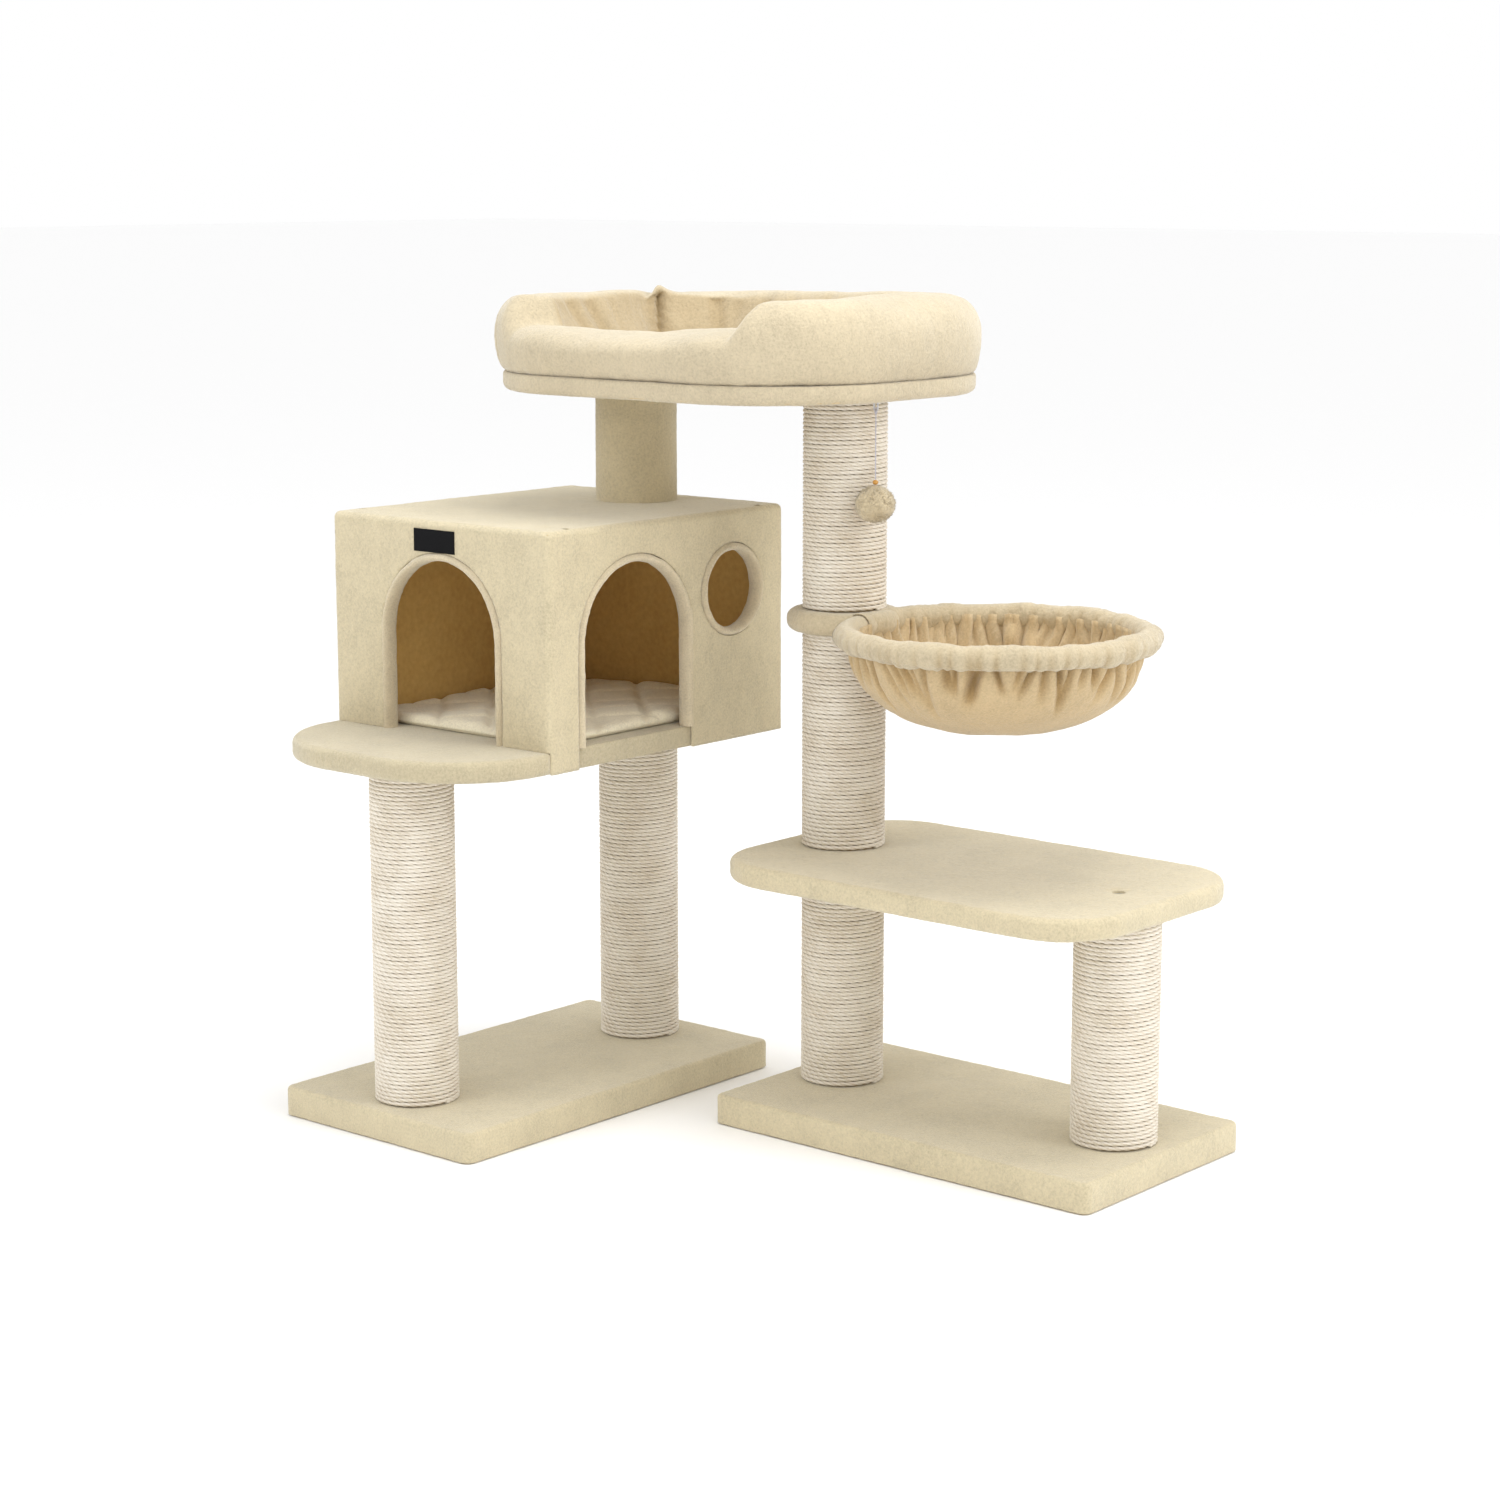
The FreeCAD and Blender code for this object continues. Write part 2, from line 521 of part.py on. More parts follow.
def pouch_body(radius, depth, side_round):
    """A bowl below the ring, flat on top: a tight round at its side runs into a wide bottom."""
    side_x = radius - side_round
    wide = (side_x ** 2 + depth ** 2 - side_round ** 2) / (2 * (depth - side_round))
    wide_z = wide - depth
    slope = math.atan2(-wide_z, side_x)

    def on_side(angle):
        return V(side_x + side_round * math.cos(angle), 0, side_round * math.sin(angle))

    def on_wide(angle):
        return V(wide * math.cos(angle), 0, wide_z + wide * math.sin(angle))

    rim = V(radius, 0, 0)
    bottom = V(0, 0, -depth)
    middle = V(0, 0, 0)
    wire = Part.Wire([
        Part.LineSegment(middle, rim).toShape(),
        Part.Arc(rim, on_side(slope / 2), on_side(slope)).toShape(),
        Part.Arc(on_side(slope), on_wide((slope - math.pi / 2) / 2), bottom).toShape(),
        Part.LineSegment(bottom, middle).toShape(),
    ])
    body = Part.Face(wire).revolve(middle, UP, 360)
    body.translate(V(BASKET_X, 0, EYE_BOTTOM))
    return body


def make_basket():
    ring_width = BASKET_FRAME_WIDTH + 2 * BASKET_PLUSH
    eye_radius = BASKET_EYE_RADIUS + BASKET_PLUSH
    z0, z1 = EYE_BOTTOM + BASKET_PLUSH, EYE_TOP - BASKET_PLUSH
    inner = BASKET_RING_RADIUS - BASKET_FRAME_WIDTH / 2
    outer = BASKET_RING_RADIUS + BASKET_FRAME_WIDTH / 2
    drill = cylinder(*TALL_POST, EYE_BOTTOM - OVERCUT, EYE_TOP + OVERCUT, BOLT_HOLE)
    frame = sleeve(BASKET_X, 0, z0, z1, outer, inner)
    frame = frame.fuse(cylinder(*TALL_POST, z0, z1, BASKET_EYE_RADIUS)).removeSplitter()
    corner = BASKET_SLEEVE_ROUND
    sleeve_ring = rounded_ring(BASKET_X, BASKET_RING_RADIUS, ring_width, EYE_BOTTOM, EYE_TOP, corner)
    eye = cylinder(*TALL_POST, EYE_BOTTOM, EYE_TOP, eye_radius)
    eye = round_level(round_level(eye, EYE_TOP, corner), EYE_BOTTOM, corner)
    cover = sleeve_ring.fuse(eye).cut(frame).cut(drill)
    outside = pouch_body(POUCH_RADIUS, BASKET_DEPTH, POUCH_SIDE_ROUND)
    inner_round = POUCH_SIDE_ROUND - POUCH_WALL
    inside = pouch_body(POUCH_RADIUS - POUCH_WALL, BASKET_DEPTH - POUCH_WALL, inner_round)
    keep("basket_frame", frame.cut(drill))
    keep("basket_frame_cover", cover)
    keep("basket_pouch", outside.cut(inside))


# ---- perch
def perch_outline(grow, z0, z1):
    """The plan of the perch as a plate, larger all round by grow."""
    return grown_plate(PERCH_X, PERCH_Y, PERCH_LENGTH, PERCH_DEPTH, PERCH_CORNER, grow, z0, z1)


def make_perch_plate():
    cover = perch_outline(0, PERCH_BOTTOM, PERCH_TOP)
    board_top = PERCH_TOP - PERCH_PLUSH
    board = perch_outline(-PERCH_PLUSH, PERCH_BOTTOM + PERCH_PLUSH, board_top)
    cover = cover.cut(board)
    for x, y in (CORNER_POST, TALL_POST):
        drill = cylinder(x, y, PERCH_BOTTOM - OVERCUT, PERCH_TOP + OVERCUT, BOLT_HOLE)
        cover = cover.cut(drill)
        cover = cover.cut(cylinder(x, y, board_top - OVERCUT, PERCH_TOP + OVERCUT, HEAD_DIAMETER / 2))
        board = board.cut(drill)
        board = board.cut(cylinder(x, y, board_top - SINK_DEPTH, board_top + OVERCUT, SINK_RADIUS))
    keep("perch_board", board)
    keep("perch_cover", cover)


def perch_ring(height, corner):
    """A closed bolster of one height round the whole edge of the perch."""
    top = PERCH_TOP + height
    outer = perch_outline(0, PERCH_TOP, top)
    inner = perch_outline(-BOLSTER_WIDTH, PERCH_TOP - OVERCUT, top + OVERCUT)
    return round_level(outer.cut(inner), top, corner)


def make_perch_soft():
    """The bolster is high round the back and sides and drops to a lip along the front."""
    left = PERCH_X - PERCH_LENGTH / 2 + LIP_FROM_LEFT
    front = PERCH_Y - PERCH_DEPTH / 2
    gate = block(
        left, left + LIP_LENGTH, front - OVERCUT, front + PERCH_DEPTH / 2,
        PERCH_TOP - OVERCUT, PERCH_TOP + BOLSTER_HEIGHT + OVERCUT,
    )
    high = perch_ring(BOLSTER_HEIGHT, BOLSTER_ROUND).cut(gate)
    low = perch_ring(LIP_HEIGHT, LIP_ROUND).common(gate)
    keep("perch_bolster", high.fuse(low).removeSplitter())
    top = PERCH_TOP + CUSHION_THICKNESS
    cushion = perch_outline(-BOLSTER_WIDTH - CUSHION_GAP, PERCH_TOP, top)
    keep("perch_cushion", round_level(cushion, top, CUSHION_ROUND))


# ---- fasteners of the decks
def make_deck_fasteners():
    """Bolts sunk in the shelf and the perch from above, one up through the roof, and two studs."""
    shelf_face = SHELF_TOP - SHELF_PLUSH - SINK_DEPTH
    perch_face = PERCH_TOP - PERCH_PLUSH - SINK_DEPTH
    downward = [
        (SHORT_POST, shelf_face, SHELF_BOTTOM),
        (CORNER_POST, perch_face, PERCH_BOTTOM),
        (TALL_POST, perch_face, PERCH_BOTTOM),
    ]
    bolts = []
    washers = []
    for (x, y), face, plug_face in downward:
        bolts.append(bolt(x, y, face + WASHER_THICKNESS, plug_face - BOLT_GRIP))
        washers.append(washer(x, y, face, -1))
    roof_face = ROOF_BOARD_BOTTOM
    bolts.append(bolt(*CORNER_POST, roof_face - WASHER_THICKNESS, CAVE_TOP + BOLT_GRIP))
    washers.append(washer(*CORNER_POST, roof_face, 1))
    radius = BOLT_DIAMETER / 2
    through_shelf = cylinder(*TALL_POST, SHELF_BOTTOM - BOLT_GRIP, SHELF_TOP + BOLT_GRIP, radius)
    through_eye = cylinder(*TALL_POST, EYE_BOTTOM - BOLT_GRIP, EYE_TOP + BOLT_GRIP, radius)
    keep("deck_bolts", *bolts)
    keep("deck_washers", *washers)
    keep("post_studs", through_shelf, through_eye)


# ---- toy
def make_toy():
    """A plush ball on a string that is tied round a staple in the underside of the perch."""
    outward = V(math.cos(math.radians(TOY_ANGLE)), math.sin(math.radians(TOY_ANGLE)), 0)
    hook = V(TOY_X, TOY_Y, STAPLE_Z)
    wire = STAPLE_WIRE / 2
    half = STAPLE_WIDTH / 2
    leg_length = STAPLE_DROP + STAPLE_BITE
    ends = [hook - outward * half, hook + outward * half]
    staple = Part.makeCylinder(wire, STAPLE_WIDTH, ends[0], outward)
    for end in ends:
        staple = staple.fuse(Part.makeCylinder(wire, leg_length, end, UP))
        staple = staple.fuse(Part.makeSphere(wire, end))
    bead_top = BALL_TOP + BEAD_HEIGHT
    thread = STRING_DIAMETER / 2
    loop = Part.makeTorus(wire + LOOP_CLEARANCE + thread, thread, hook, outward)
    loop_bottom = STAPLE_Z - wire - LOOP_CLEARANCE - thread
    drop = cylinder(TOY_X, TOY_Y, bead_top, loop_bottom, thread)
    string = drop.fuse(loop)
    bead = cylinder(TOY_X, TOY_Y, BALL_TOP, bead_top, BEAD_DIAMETER / 2)
    bead = round_level(bead, bead_top, BEAD_HEIGHT / 4)
    radius = BALL_DIAMETER / 2
    ball = Part.makeSphere(radius, V(TOY_X, TOY_Y, BALL_TOP - radius))
    keep("toy_staple", staple.removeSplitter())
    keep("toy_string", string)
    keep("toy_bead", bead.cut(ball))
    keep("toy_ball", ball)


# ---- writing the parts
def middle_of_footprint():
    """The middle of the whole object's outline on the floor, without the toy that hangs from it."""
    fixed = [shape for name, shape in PARTS.items() if not name.startswith("toy_")]
    boxes = [shape.optimalBoundingBox(False, False) for shape in fixed]
    x = (min(box.XMin for box in boxes) + max(box.XMax for box in boxes)) / 2
    y = (min(box.YMin for box in boxes) + max(box.YMax for box in boxes)) / 2
    return V(x, y, 0)


def save_parts():
    os.makedirs("parts", exist_ok=True)
    for name, shape in PARTS.items():
        placed = shape.copy()
        placed.translate(-MIDDLE)
        placed.exportStep(os.path.join("parts", name + ".step"))


make_posts()
make_bases()
make_cave_floor()
make_cave_walls()
make_cave_trims()
make_cave_fittings()
make_shelf()
make_basket()
make_perch_plate()
make_perch_soft()
make_deck_fasteners()
make_toy()
MIDDLE = middle_of_footprint()
save_parts()
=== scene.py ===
import json
import math
import bmesh
import bpy
import numpy as np
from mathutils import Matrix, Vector


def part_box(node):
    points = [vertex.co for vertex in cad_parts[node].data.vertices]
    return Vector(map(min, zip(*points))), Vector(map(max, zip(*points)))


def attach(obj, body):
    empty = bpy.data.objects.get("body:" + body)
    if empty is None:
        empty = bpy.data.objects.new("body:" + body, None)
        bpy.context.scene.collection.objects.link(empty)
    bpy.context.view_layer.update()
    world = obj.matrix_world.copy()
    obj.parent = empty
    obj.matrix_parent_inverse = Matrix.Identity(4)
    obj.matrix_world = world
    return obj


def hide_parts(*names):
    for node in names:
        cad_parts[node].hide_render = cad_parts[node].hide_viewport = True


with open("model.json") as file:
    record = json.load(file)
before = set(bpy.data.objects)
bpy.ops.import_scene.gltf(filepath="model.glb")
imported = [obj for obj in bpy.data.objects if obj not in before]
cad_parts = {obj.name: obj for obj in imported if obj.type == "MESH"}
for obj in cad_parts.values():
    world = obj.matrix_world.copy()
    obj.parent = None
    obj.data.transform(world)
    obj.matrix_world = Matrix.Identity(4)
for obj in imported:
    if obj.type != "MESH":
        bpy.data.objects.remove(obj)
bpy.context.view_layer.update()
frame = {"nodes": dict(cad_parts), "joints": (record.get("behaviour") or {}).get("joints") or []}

MM = 0.001

# Driving sizes of the looks, in metres
ROPE_PITCH = 4.5 * MM
ROPE_HALF = 2.45 * MM             # half the rope's thickness, outwards from the post
ROPE_RISE = 0.49                  # half its height, as a share of the pitch
ROPE_STRAND = 9.4 * MM            # from one strand's lobe to the next along the rope
ROPE_STEPS = 130                  # sections of rope in one turn round the post
SLAB_EDGE = 7 * MM
BASE_EDGE = 4.5 * MM
BASE_CORNER = 9 * MM
CELL = 8 * MM                     # grid that plush surfaces are cut into
BOLT_MOUTH = 7 * MM               # radius of the mouth in the shelf's plush
DOOR_ROLL = 9 * MM                # width of the roll round an opening
MAT_CORNER = 33 * MM
BOLSTER_WIDTH = 75 * MM
BOLSTER_LIP = 43 * MM             # height of its low front
PERCH_CORNER = 150 * MM
CUSHION_CORNER = 62 * MM
SHELF_CORNER = 79 * MM
PORCH_CORNER = 120 * MM
COLLAR_EDGE = 10.5 * MM
BASKET_RING = 155.5 * MM          # middle radius of the basket's ring
BASKET_REACH = 199 * MM           # tall post to basket centre
RIM_LEAST = 11.8 * MM             # the rim's surface stays this far from the ring's middle line
RIM_GAP = math.radians(13.5)      # half the turn that the rim leaves open at the collar
POUCH_CLOTH = 4 * MM
QUILT = 78 * MM                   # width of a quilted diamond
PLEATS = 62                       # gathers round the basket
TUFTS = 1500                      # on the toy ball
STRING_WIDTH = 1.3 * MM
PUFF_FRAMES = 20
FOLD_SHADE_TINT = (0.68, 0.58, 0.43, 1)    # painted shade: what the depth of a fold multiplies its colour by
FLUSH = 1e-6                      # points nearer than this count as level


# ---------------- modelling helpers
def pick(obj):
    """Makes obj the only selected object and the active one."""
    if bpy.context.object and bpy.context.object.mode != "OBJECT":
        bpy.ops.object.mode_set(mode="OBJECT")
    bpy.ops.object.select_all(action="DESELECT")
    obj.select_set(True)
    bpy.context.view_layer.objects.active = obj


def named(name):
    """Names the new active object and puts its place and size into its mesh."""
    obj = bpy.context.object
    obj.name = name
    obj.data.name = name
    pick(obj)
    bpy.ops.object.transform_apply(location=True, rotation=True, scale=True)
    return obj


def placed(name, data):
    """A new object in the scene with this data."""
    obj = bpy.data.objects.new(name, data)
    bpy.context.scene.collection.objects.link(obj)
    return obj


def middle_of(node):
    low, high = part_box(node)
    return (low + high) / 2


def edit(obj):
    pick(obj)
    bpy.ops.object.mode_set(mode="EDIT")
    bpy.ops.mesh.select_all(action="DESELECT")


def leave():
    bpy.ops.object.mode_set(mode="OBJECT")


def select_edges(obj, test):
    """Selects the edges whose two ends pass the test."""
    bm = bmesh.from_edit_mesh(obj.data)
    bpy.ops.mesh.select_mode(type="EDGE")
    for edge in bm.edges:
        edge.select = test(edge.verts[0].co, edge.verts[1].co)
    bm.select_flush_mode()
    bmesh.update_edit_mesh(obj.data)


def select_open_edges(obj, test):
    """Selects the edges of openings that pass the test."""
    bpy.ops.mesh.select_all(action="DESELECT")
    bpy.ops.mesh.select_mode(type="EDGE")
    bm = bmesh.from_edit_mesh(obj.data)
    for edge in bm.edges:
        edge.select = edge.is_boundary and test(edge)
    bmesh.update_edit_mesh(obj.data)


def close_up(merge=0):
    """Ends an edit: joins points that meet, and turns every face outwards."""
    bpy.ops.mesh.select_all(action="SELECT")
    if merge:
        bpy.ops.mesh.remove_doubles(threshold=merge)
    bpy.ops.mesh.normals_make_consistent(inside=False)
    leave()


def apply_all(obj):
    pick(obj)
    for modifier in list(obj.modifiers):
        bpy.ops.object.modifier_apply(modifier=modifier.name)


def modify(obj, kind, **values):
    """Changes a mesh for good by one modifier with these values."""
    modifier = obj.modifiers.new(kind.lower(), kind)
    for key, value in values.items():
        setattr(modifier, key, value)
    apply_all(obj)


def points_of(obj):
    co = np.zeros(len(obj.data.vertices) * 3, np.float32)
    obj.data.vertices.foreach_get("co", co)
    return co.reshape(-1, 3).astype(float)


def set_points(obj, co):
    obj.data.vertices.foreach_set("co", co.astype(np.float32).ravel())
    obj.data.update()


def keep_values(obj, name, values):
    """Stores one number for each point, for the material to read."""
    attribute = obj.data.attributes.new(name, "FLOAT", "POINT")
    attribute.data.foreach_set("value", values.astype(np.float32))


def normals_of(obj):
    no = np.zeros(len(obj.data.vertices) * 3, np.float32)
    obj.data.vertices.foreach_get("normal", no)
    return no.reshape(-1, 3).astype(float)


def polar(co, centre):
    """Each point's turn round an upright line through centre, and its distance from that line."""
    dx, dy = co[:, 0] - centre.x, co[:, 1] - centre.y
    return np.arctan2(dy, dx), np.hypot(dx, dy)


def spread(co, centre, scale):
    """Moves each point away from an upright line through centre by its own scale."""
    co[:, 0] = centre.x + (co[:, 0] - centre.x) * scale
    co[:, 1] = centre.y + (co[:, 1] - centre.y) * scale


def smooth(obj, angle=None):
    pick(obj)
    if angle is None:
        bpy.ops.object.shade_smooth()
    else:
        bpy.ops.object.shade_smooth_by_angle(angle=math.radians(angle))


def cut_across(axis, place):
    """Cuts the mesh in edit by the plane at a place on one axis."""
    at, normal = [0, 0, 0], [0, 0, 0]
    at[axis], normal[axis] = place, 1
    bpy.ops.mesh.select_all(action="SELECT")
    bpy.ops.mesh.bisect(plane_co=at, plane_no=normal)


def grid_cut(obj, cell, axes="xyz"):
    """Cuts the mesh by evenly spaced planes, so that its flat faces can be shaped."""
    co = points_of(obj)
    low, high = co.min(0), co.max(0)
    edit(obj)
    for axis in ["xyz".index(a) for a in axes]:
        count = max(1, round((high[axis] - low[axis]) / cell))
        for step in range(1, count):
            cut_across(axis, low[axis] + (high[axis] - low[axis]) * step / count)
    bpy.ops.mesh.select_all(action="SELECT")
    bpy.ops.mesh.remove_doubles(threshold=0.05 * MM)
    leave()


def slab(name, low, high, front, back, top_edge, bottom_edge, cell=CELL):
    """A padded board: corner radius front towards -Y and back towards +Y, with rolled edges."""
    low, high = Vector(low), Vector(high)
    bpy.ops.mesh.primitive_cube_add(size=1, location=(low + high) / 2, scale=high - low)
    obj = named(name)
    middle = (low.y + high.y) / 2

    def roll(radius, segments, test):
        select_edges(obj, test)
        bpy.ops.mesh.bevel(offset=radius, offset_type="OFFSET", segments=segments, affect="EDGES")

    edit(obj)
    for radius, side in ((front, -1), (back, 1)):
        steps = max(3, round(radius / (6 * MM)))
        upright = lambda a, b: abs(a.x - b.x) + abs(a.y - b.y) < FLUSH
        roll(radius, steps, lambda a, b: upright(a, b) and (a.y - middle) * side > 0)
    for radius, level in ((top_edge, high.z), (bottom_edge, low.z)):
        if radius:
            roll(radius, 4, lambda a, b: abs(a.z - level) < FLUSH and abs(b.z - level) < FLUSH)
    leave()
    if cell:
        grid_cut(obj, cell, "xy" if high.z - low.z < 4 * cell else "xyz")
    return obj


def ripple(obj, size, depth):
    """Raises and lowers the surface by a procedural noise of the given size."""
    texture = bpy.data.textures.new(obj.name + "_ripple", "CLOUDS")
    texture.noise_scale = size
    texture.noise_depth = 2
    modify(obj, "DISPLACE", texture=texture, texture_coords="LOCAL", strength=depth, mid_level=0.5)


def nap(obj, wave=0.9 * MM, lump=0.35 * MM):
    """The slight unevenness of plush glued over a board, and the lie of its tufts."""
    refine(obj, "SIMPLE")
    for size, depth in ((60 * MM, wave), (9 * MM, lump), (3.2 * MM, 0.7 * MM)):
        ripple(obj, size, depth)
    smooth(obj)


def remesh(obj, size):
    modify(obj, "REMESH", mode="VOXEL", voxel_size=size)


def relax(obj, turns):
    modify(obj, "SMOOTH", iterations=turns, factor=0.5)


def refine(obj, kind="CATMULL_CLARK"):
    modify(obj, "SUBSURF", subdivision_type=kind, levels=1, render_levels=1)


def carve(obj, tool):
    """Takes the tool's shape out of obj, and the tool out of the scene."""
    modify(obj, "BOOLEAN", operation="DIFFERENCE", object=tool, solver="EXACT")
    bpy.data.objects.remove(tool)


def puff(obj, pressure, cap, held):
    """Blows the closed mesh up as cloth. Held points stay, and no point moves further than cap."""
    rest = points_of(obj)
    cloth = obj.modifiers.new("cloth", "CLOTH")
    settings = cloth.settings
    settings.quality = 5
    settings.mass = 0.3
    settings.use_pressure = True
    settings.uniform_pressure_force = pressure
    settings.tension_stiffness = 12
    settings.compression_stiffness = 12
    settings.shear_stiffness = 6
    settings.bending_stiffness = 0.4
    settings.effector_weights.gravity = 0
    group = obj.vertex_groups.new(name="held")
    group.add([int(i) for i in np.nonzero(held)[0]], 1.0, "REPLACE")
    settings.vertex_group_mass = "held"
    scene = bpy.context.scene
    cloth.point_cache.frame_start = 1
    cloth.point_cache.frame_end = PUFF_FRAMES
    for number in range(1, PUFF_FRAMES + 1):
        scene.frame_set(number)
    evaluated = obj.evaluated_get(bpy.context.evaluated_depsgraph_get())
    moved = np.array([v.co[:] for v in evaluated.data.vertices], float)
    obj.modifiers.remove(cloth)
    obj.vertex_groups.clear()
    scene.frame_set(1)
    step = moved - rest
    length = np.maximum(np.linalg.norm(step, axis=1), 1e-9)
    set_points(obj, rest + step * np.minimum(1.0, cap / length)[:, None])


def blend_step(value, start, end):
    """0 before start, 1 after end, smooth between."""
    t = np.clip((value - start) / (end - start), 0, 1)
    return t * t * (3 - 2 * t)


def settle(obj, body, material, slot, *nodes):
    """Gives a finished piece its body and material, and hides the CAD nodes that it stands for. The slot
    argument is not used.
    """
    obj.data.materials.clear()
    obj.data.materials.append(material)
    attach(obj, body)
    if nodes:
        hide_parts(*nodes)


# ---------------- material helpers
def new_material(name, inputs):
    """A material with these values on its shader."""
    material = bpy.data.materials.new(name)
    material.use_nodes = True
    shader = material.node_tree.nodes["Principled BSDF"]
    for key, value in inputs.items():
        shader.inputs[key].default_value = value
    return material, material.node_tree, shader


def add(tree, kind, **values):
    node = tree.nodes.new(kind)
    for key, value in values.items():
        if key in node.inputs:
            node.inputs[key].default_value = value
        else:
            setattr(node, key, value)
    return node


def object_place(tree):
    return add(tree, "ShaderNodeTexCoord").outputs["Object"]


def kept_value(tree, name):
    return add(tree, "ShaderNodeAttribute", attribute_name=name).outputs["Fac"]


def noise(tree, coords, scale, detail, roughness, stretch=None):
    if stretch:
        mapping = add(tree, "ShaderNodeMapping", Scale=stretch)
        tree.links.new(coords, mapping.inputs["Vector"])
        coords = mapping.outputs["Vector"]
    node = add(tree, "ShaderNodeTexNoise", Scale=scale, Detail=detail, Roughness=roughness)
    tree.links.new(coords, node.inputs["Vector"])
    return node.outputs["Fac"]


def combine(tree, operation, a, b):
    node = add(tree, "ShaderNodeMath", operation=operation)
    for socket, value in zip(node.inputs, (a, b)):
        if isinstance(value, (int, float)):
            socket.default_value = value
        else:
            tree.links.new(value, socket)
    return node.outputs[0]


def weighed(tree, *parts):
    """The sum of some values, each times its weight."""
    total = None
    for value, weight in parts:
        share = combine(tree, "MULTIPLY", value, weight)
        total = share if total is None else combine(tree, "ADD", total, share)
    return total


def ramp(tree, value, stops):
    node = add(tree, "ShaderNodeValToRGB")
    elements = node.color_ramp.elements
    while len(elements) < len(stops):
        elements.new(0.5)
    for element, (place, colour) in zip(elements, stops):
        element.position = place
        element.color = (*colour, 1)
    tree.links.new(value, node.inputs["Fac"])
    return node.outputs["Color"]


def paint(tree, shader, value, *stops):
    """Colours the shader by a value."""
    tree.links.new(ramp(tree, value, stops), shader.inputs["Base Color"])


def bump(tree, shader, height, strength, distance):
    node = add(tree, "ShaderNodeBump", Strength=strength, Distance=distance)
    tree.links.new(height, node.inputs["Height"])
    tree.links.new(node.outputs["Normal"], shader.inputs["Normal"])


def shade(colour, factor):
    return tuple(min(1.0, c * factor) for c in colour)


def plush(name, colour, pile=2.5 * MM, depth=1.7 * MM, sheen=0.6, patches=45 * MM, folded=False):
    """Brushed pile: soft patches where the nap lies another way, tufts, and a pale sheen. Folded ones also
    get painted shade in their folds.
    """
    material, tree, shader = new_material(name, {
        "Roughness": 0.95, "Specular IOR Level": 0.15,
        "Sheen Weight": sheen, "Sheen Roughness": 0.4, "Sheen Tint": (1.0, 0.99, 0.93, 1),
    })
    place = object_place(tree)
    patch = noise(tree, place, 1 / patches, 2.0, 0.5)
    brushed = noise(tree, place, 0.3 / pile, 3.0, 0.6, (1.0, 1.0, 0.6))
    tuft = noise(tree, place, 1 / pile, 3.0, 0.75)
    fibre = noise(tree, place, 2.6 / pile, 2.0, 0.8)
    tone = weighed(tree, (patch, 0.22), (tuft, 0.62), (brushed, 0.16))
    colours = ramp(tree, tone, [(0.34, shade(colour, 0.80)), (0.5, colour), (0.66, shade(colour, 1.14))])
    # Painted shade: the kept fold value multiplies the colour by the fold tint, darkening folds, creases and
    # inner sides.
    if folded:
        painted_fold_shade = add(tree, "ShaderNodeMix", data_type="RGBA", blend_type="MULTIPLY")
        factor, plain, tint = painted_fold_shade.inputs[0], painted_fold_shade.inputs[6], painted_fold_shade.inputs[7]
        tree.links.new(kept_value(tree, "fold"), factor)
        tree.links.new(colours, plain)
        tint.default_value = FOLD_SHADE_TINT
        colours = painted_fold_shade.outputs[2]
    tree.links.new(colours, shader.inputs["Base Color"])
    bump(tree, shader, weighed(tree, (tuft, 0.7), (fibre, 0.3), (brushed, 0.5)), 0.85, depth)
    return material


def sisal():
    """Three-strand rope: fibres run along the strands, with painted shade darkening the grooves between
    strands and between turns.
    """
    material, tree, shader = new_material("sisal_rope", {
        "Roughness": 0.82, "Specular IOR Level": 0.25, "Sheen Weight": 0.15,
    })
    along, around, groove = [kept_value(tree, name) for name in ("along", "around", "groove")]
    place = object_place(tree)
    strands = combine(tree, "MULTIPLY", around, 3.0)
    twisted = combine(tree, "ADD", strands, combine(tree, "DIVIDE", along, ROPE_STRAND))
    joined = add(tree, "ShaderNodeCombineXYZ")
    tree.links.new(combine(tree, "MULTIPLY", along, 90.0), joined.inputs["X"])
    tree.links.new(combine(tree, "MULTIPLY", twisted, 9.0), joined.inputs["Y"])
    fibre = noise(tree, joined.outputs["Vector"], 1.6, 3.0, 0.7)
    patch = noise(tree, place, 26.0, 3.0, 0.6)
    speck = noise(tree, place, 520.0, 2.0, 0.6)
    tone = weighed(tree, (fibre, 0.5), (patch, 0.3), (speck, 0.2))
    # Painted shade: the colour is darker in the grooves.
    tone = combine(tree, "SUBTRACT", tone, combine(tree, "MULTIPLY", groove, 0.45))
    paint(
        tree, shader, tone,
        (0.02, (0.17, 0.12, 0.07)), (0.25, (0.56, 0.47, 0.34)),
        (0.45, (0.79, 0.73, 0.63)), (0.65, (0.88, 0.85, 0.77)),
    )
    bump(tree, shader, combine(tree, "ADD", fibre, combine(tree, "MULTIPLY", speck, 0.4)), 0.6, 0.4 * MM)
    return material


def board(name, dark, light, scale, stretch=None):
    """Raw sheet material: fibres and chips in two tones."""
    material, tree, shader = new_material(name, {"Roughness": 0.8})
    place = object_place(tree)
    grain = noise(tree, place, scale, 4.0, 0.65, stretch)
    cloud = noise(tree, place, scale / 12, 2.0, 0.5)
    paint(tree, shader, weighed(tree, (grain, 0.6), (cloud, 0.4)), (0.3, dark), (0.7, light))
    bump(tree, shader, grain, 0.3, 0.3 * MM)
    return material


def metal(name, colour, roughness):
    material, tree, shader = new_material(name, {"Metallic": 1.0, "Roughness": roughness})
    wear = noise(tree, object_place(tree), 400.0, 3.0, 0.6)
    paint(tree, shader, wear, (0.3, shade(colour, 0.8)), (0.7, colour))
    bump(tree, shader, wear, 0.15, 0.1 * MM)
    return material


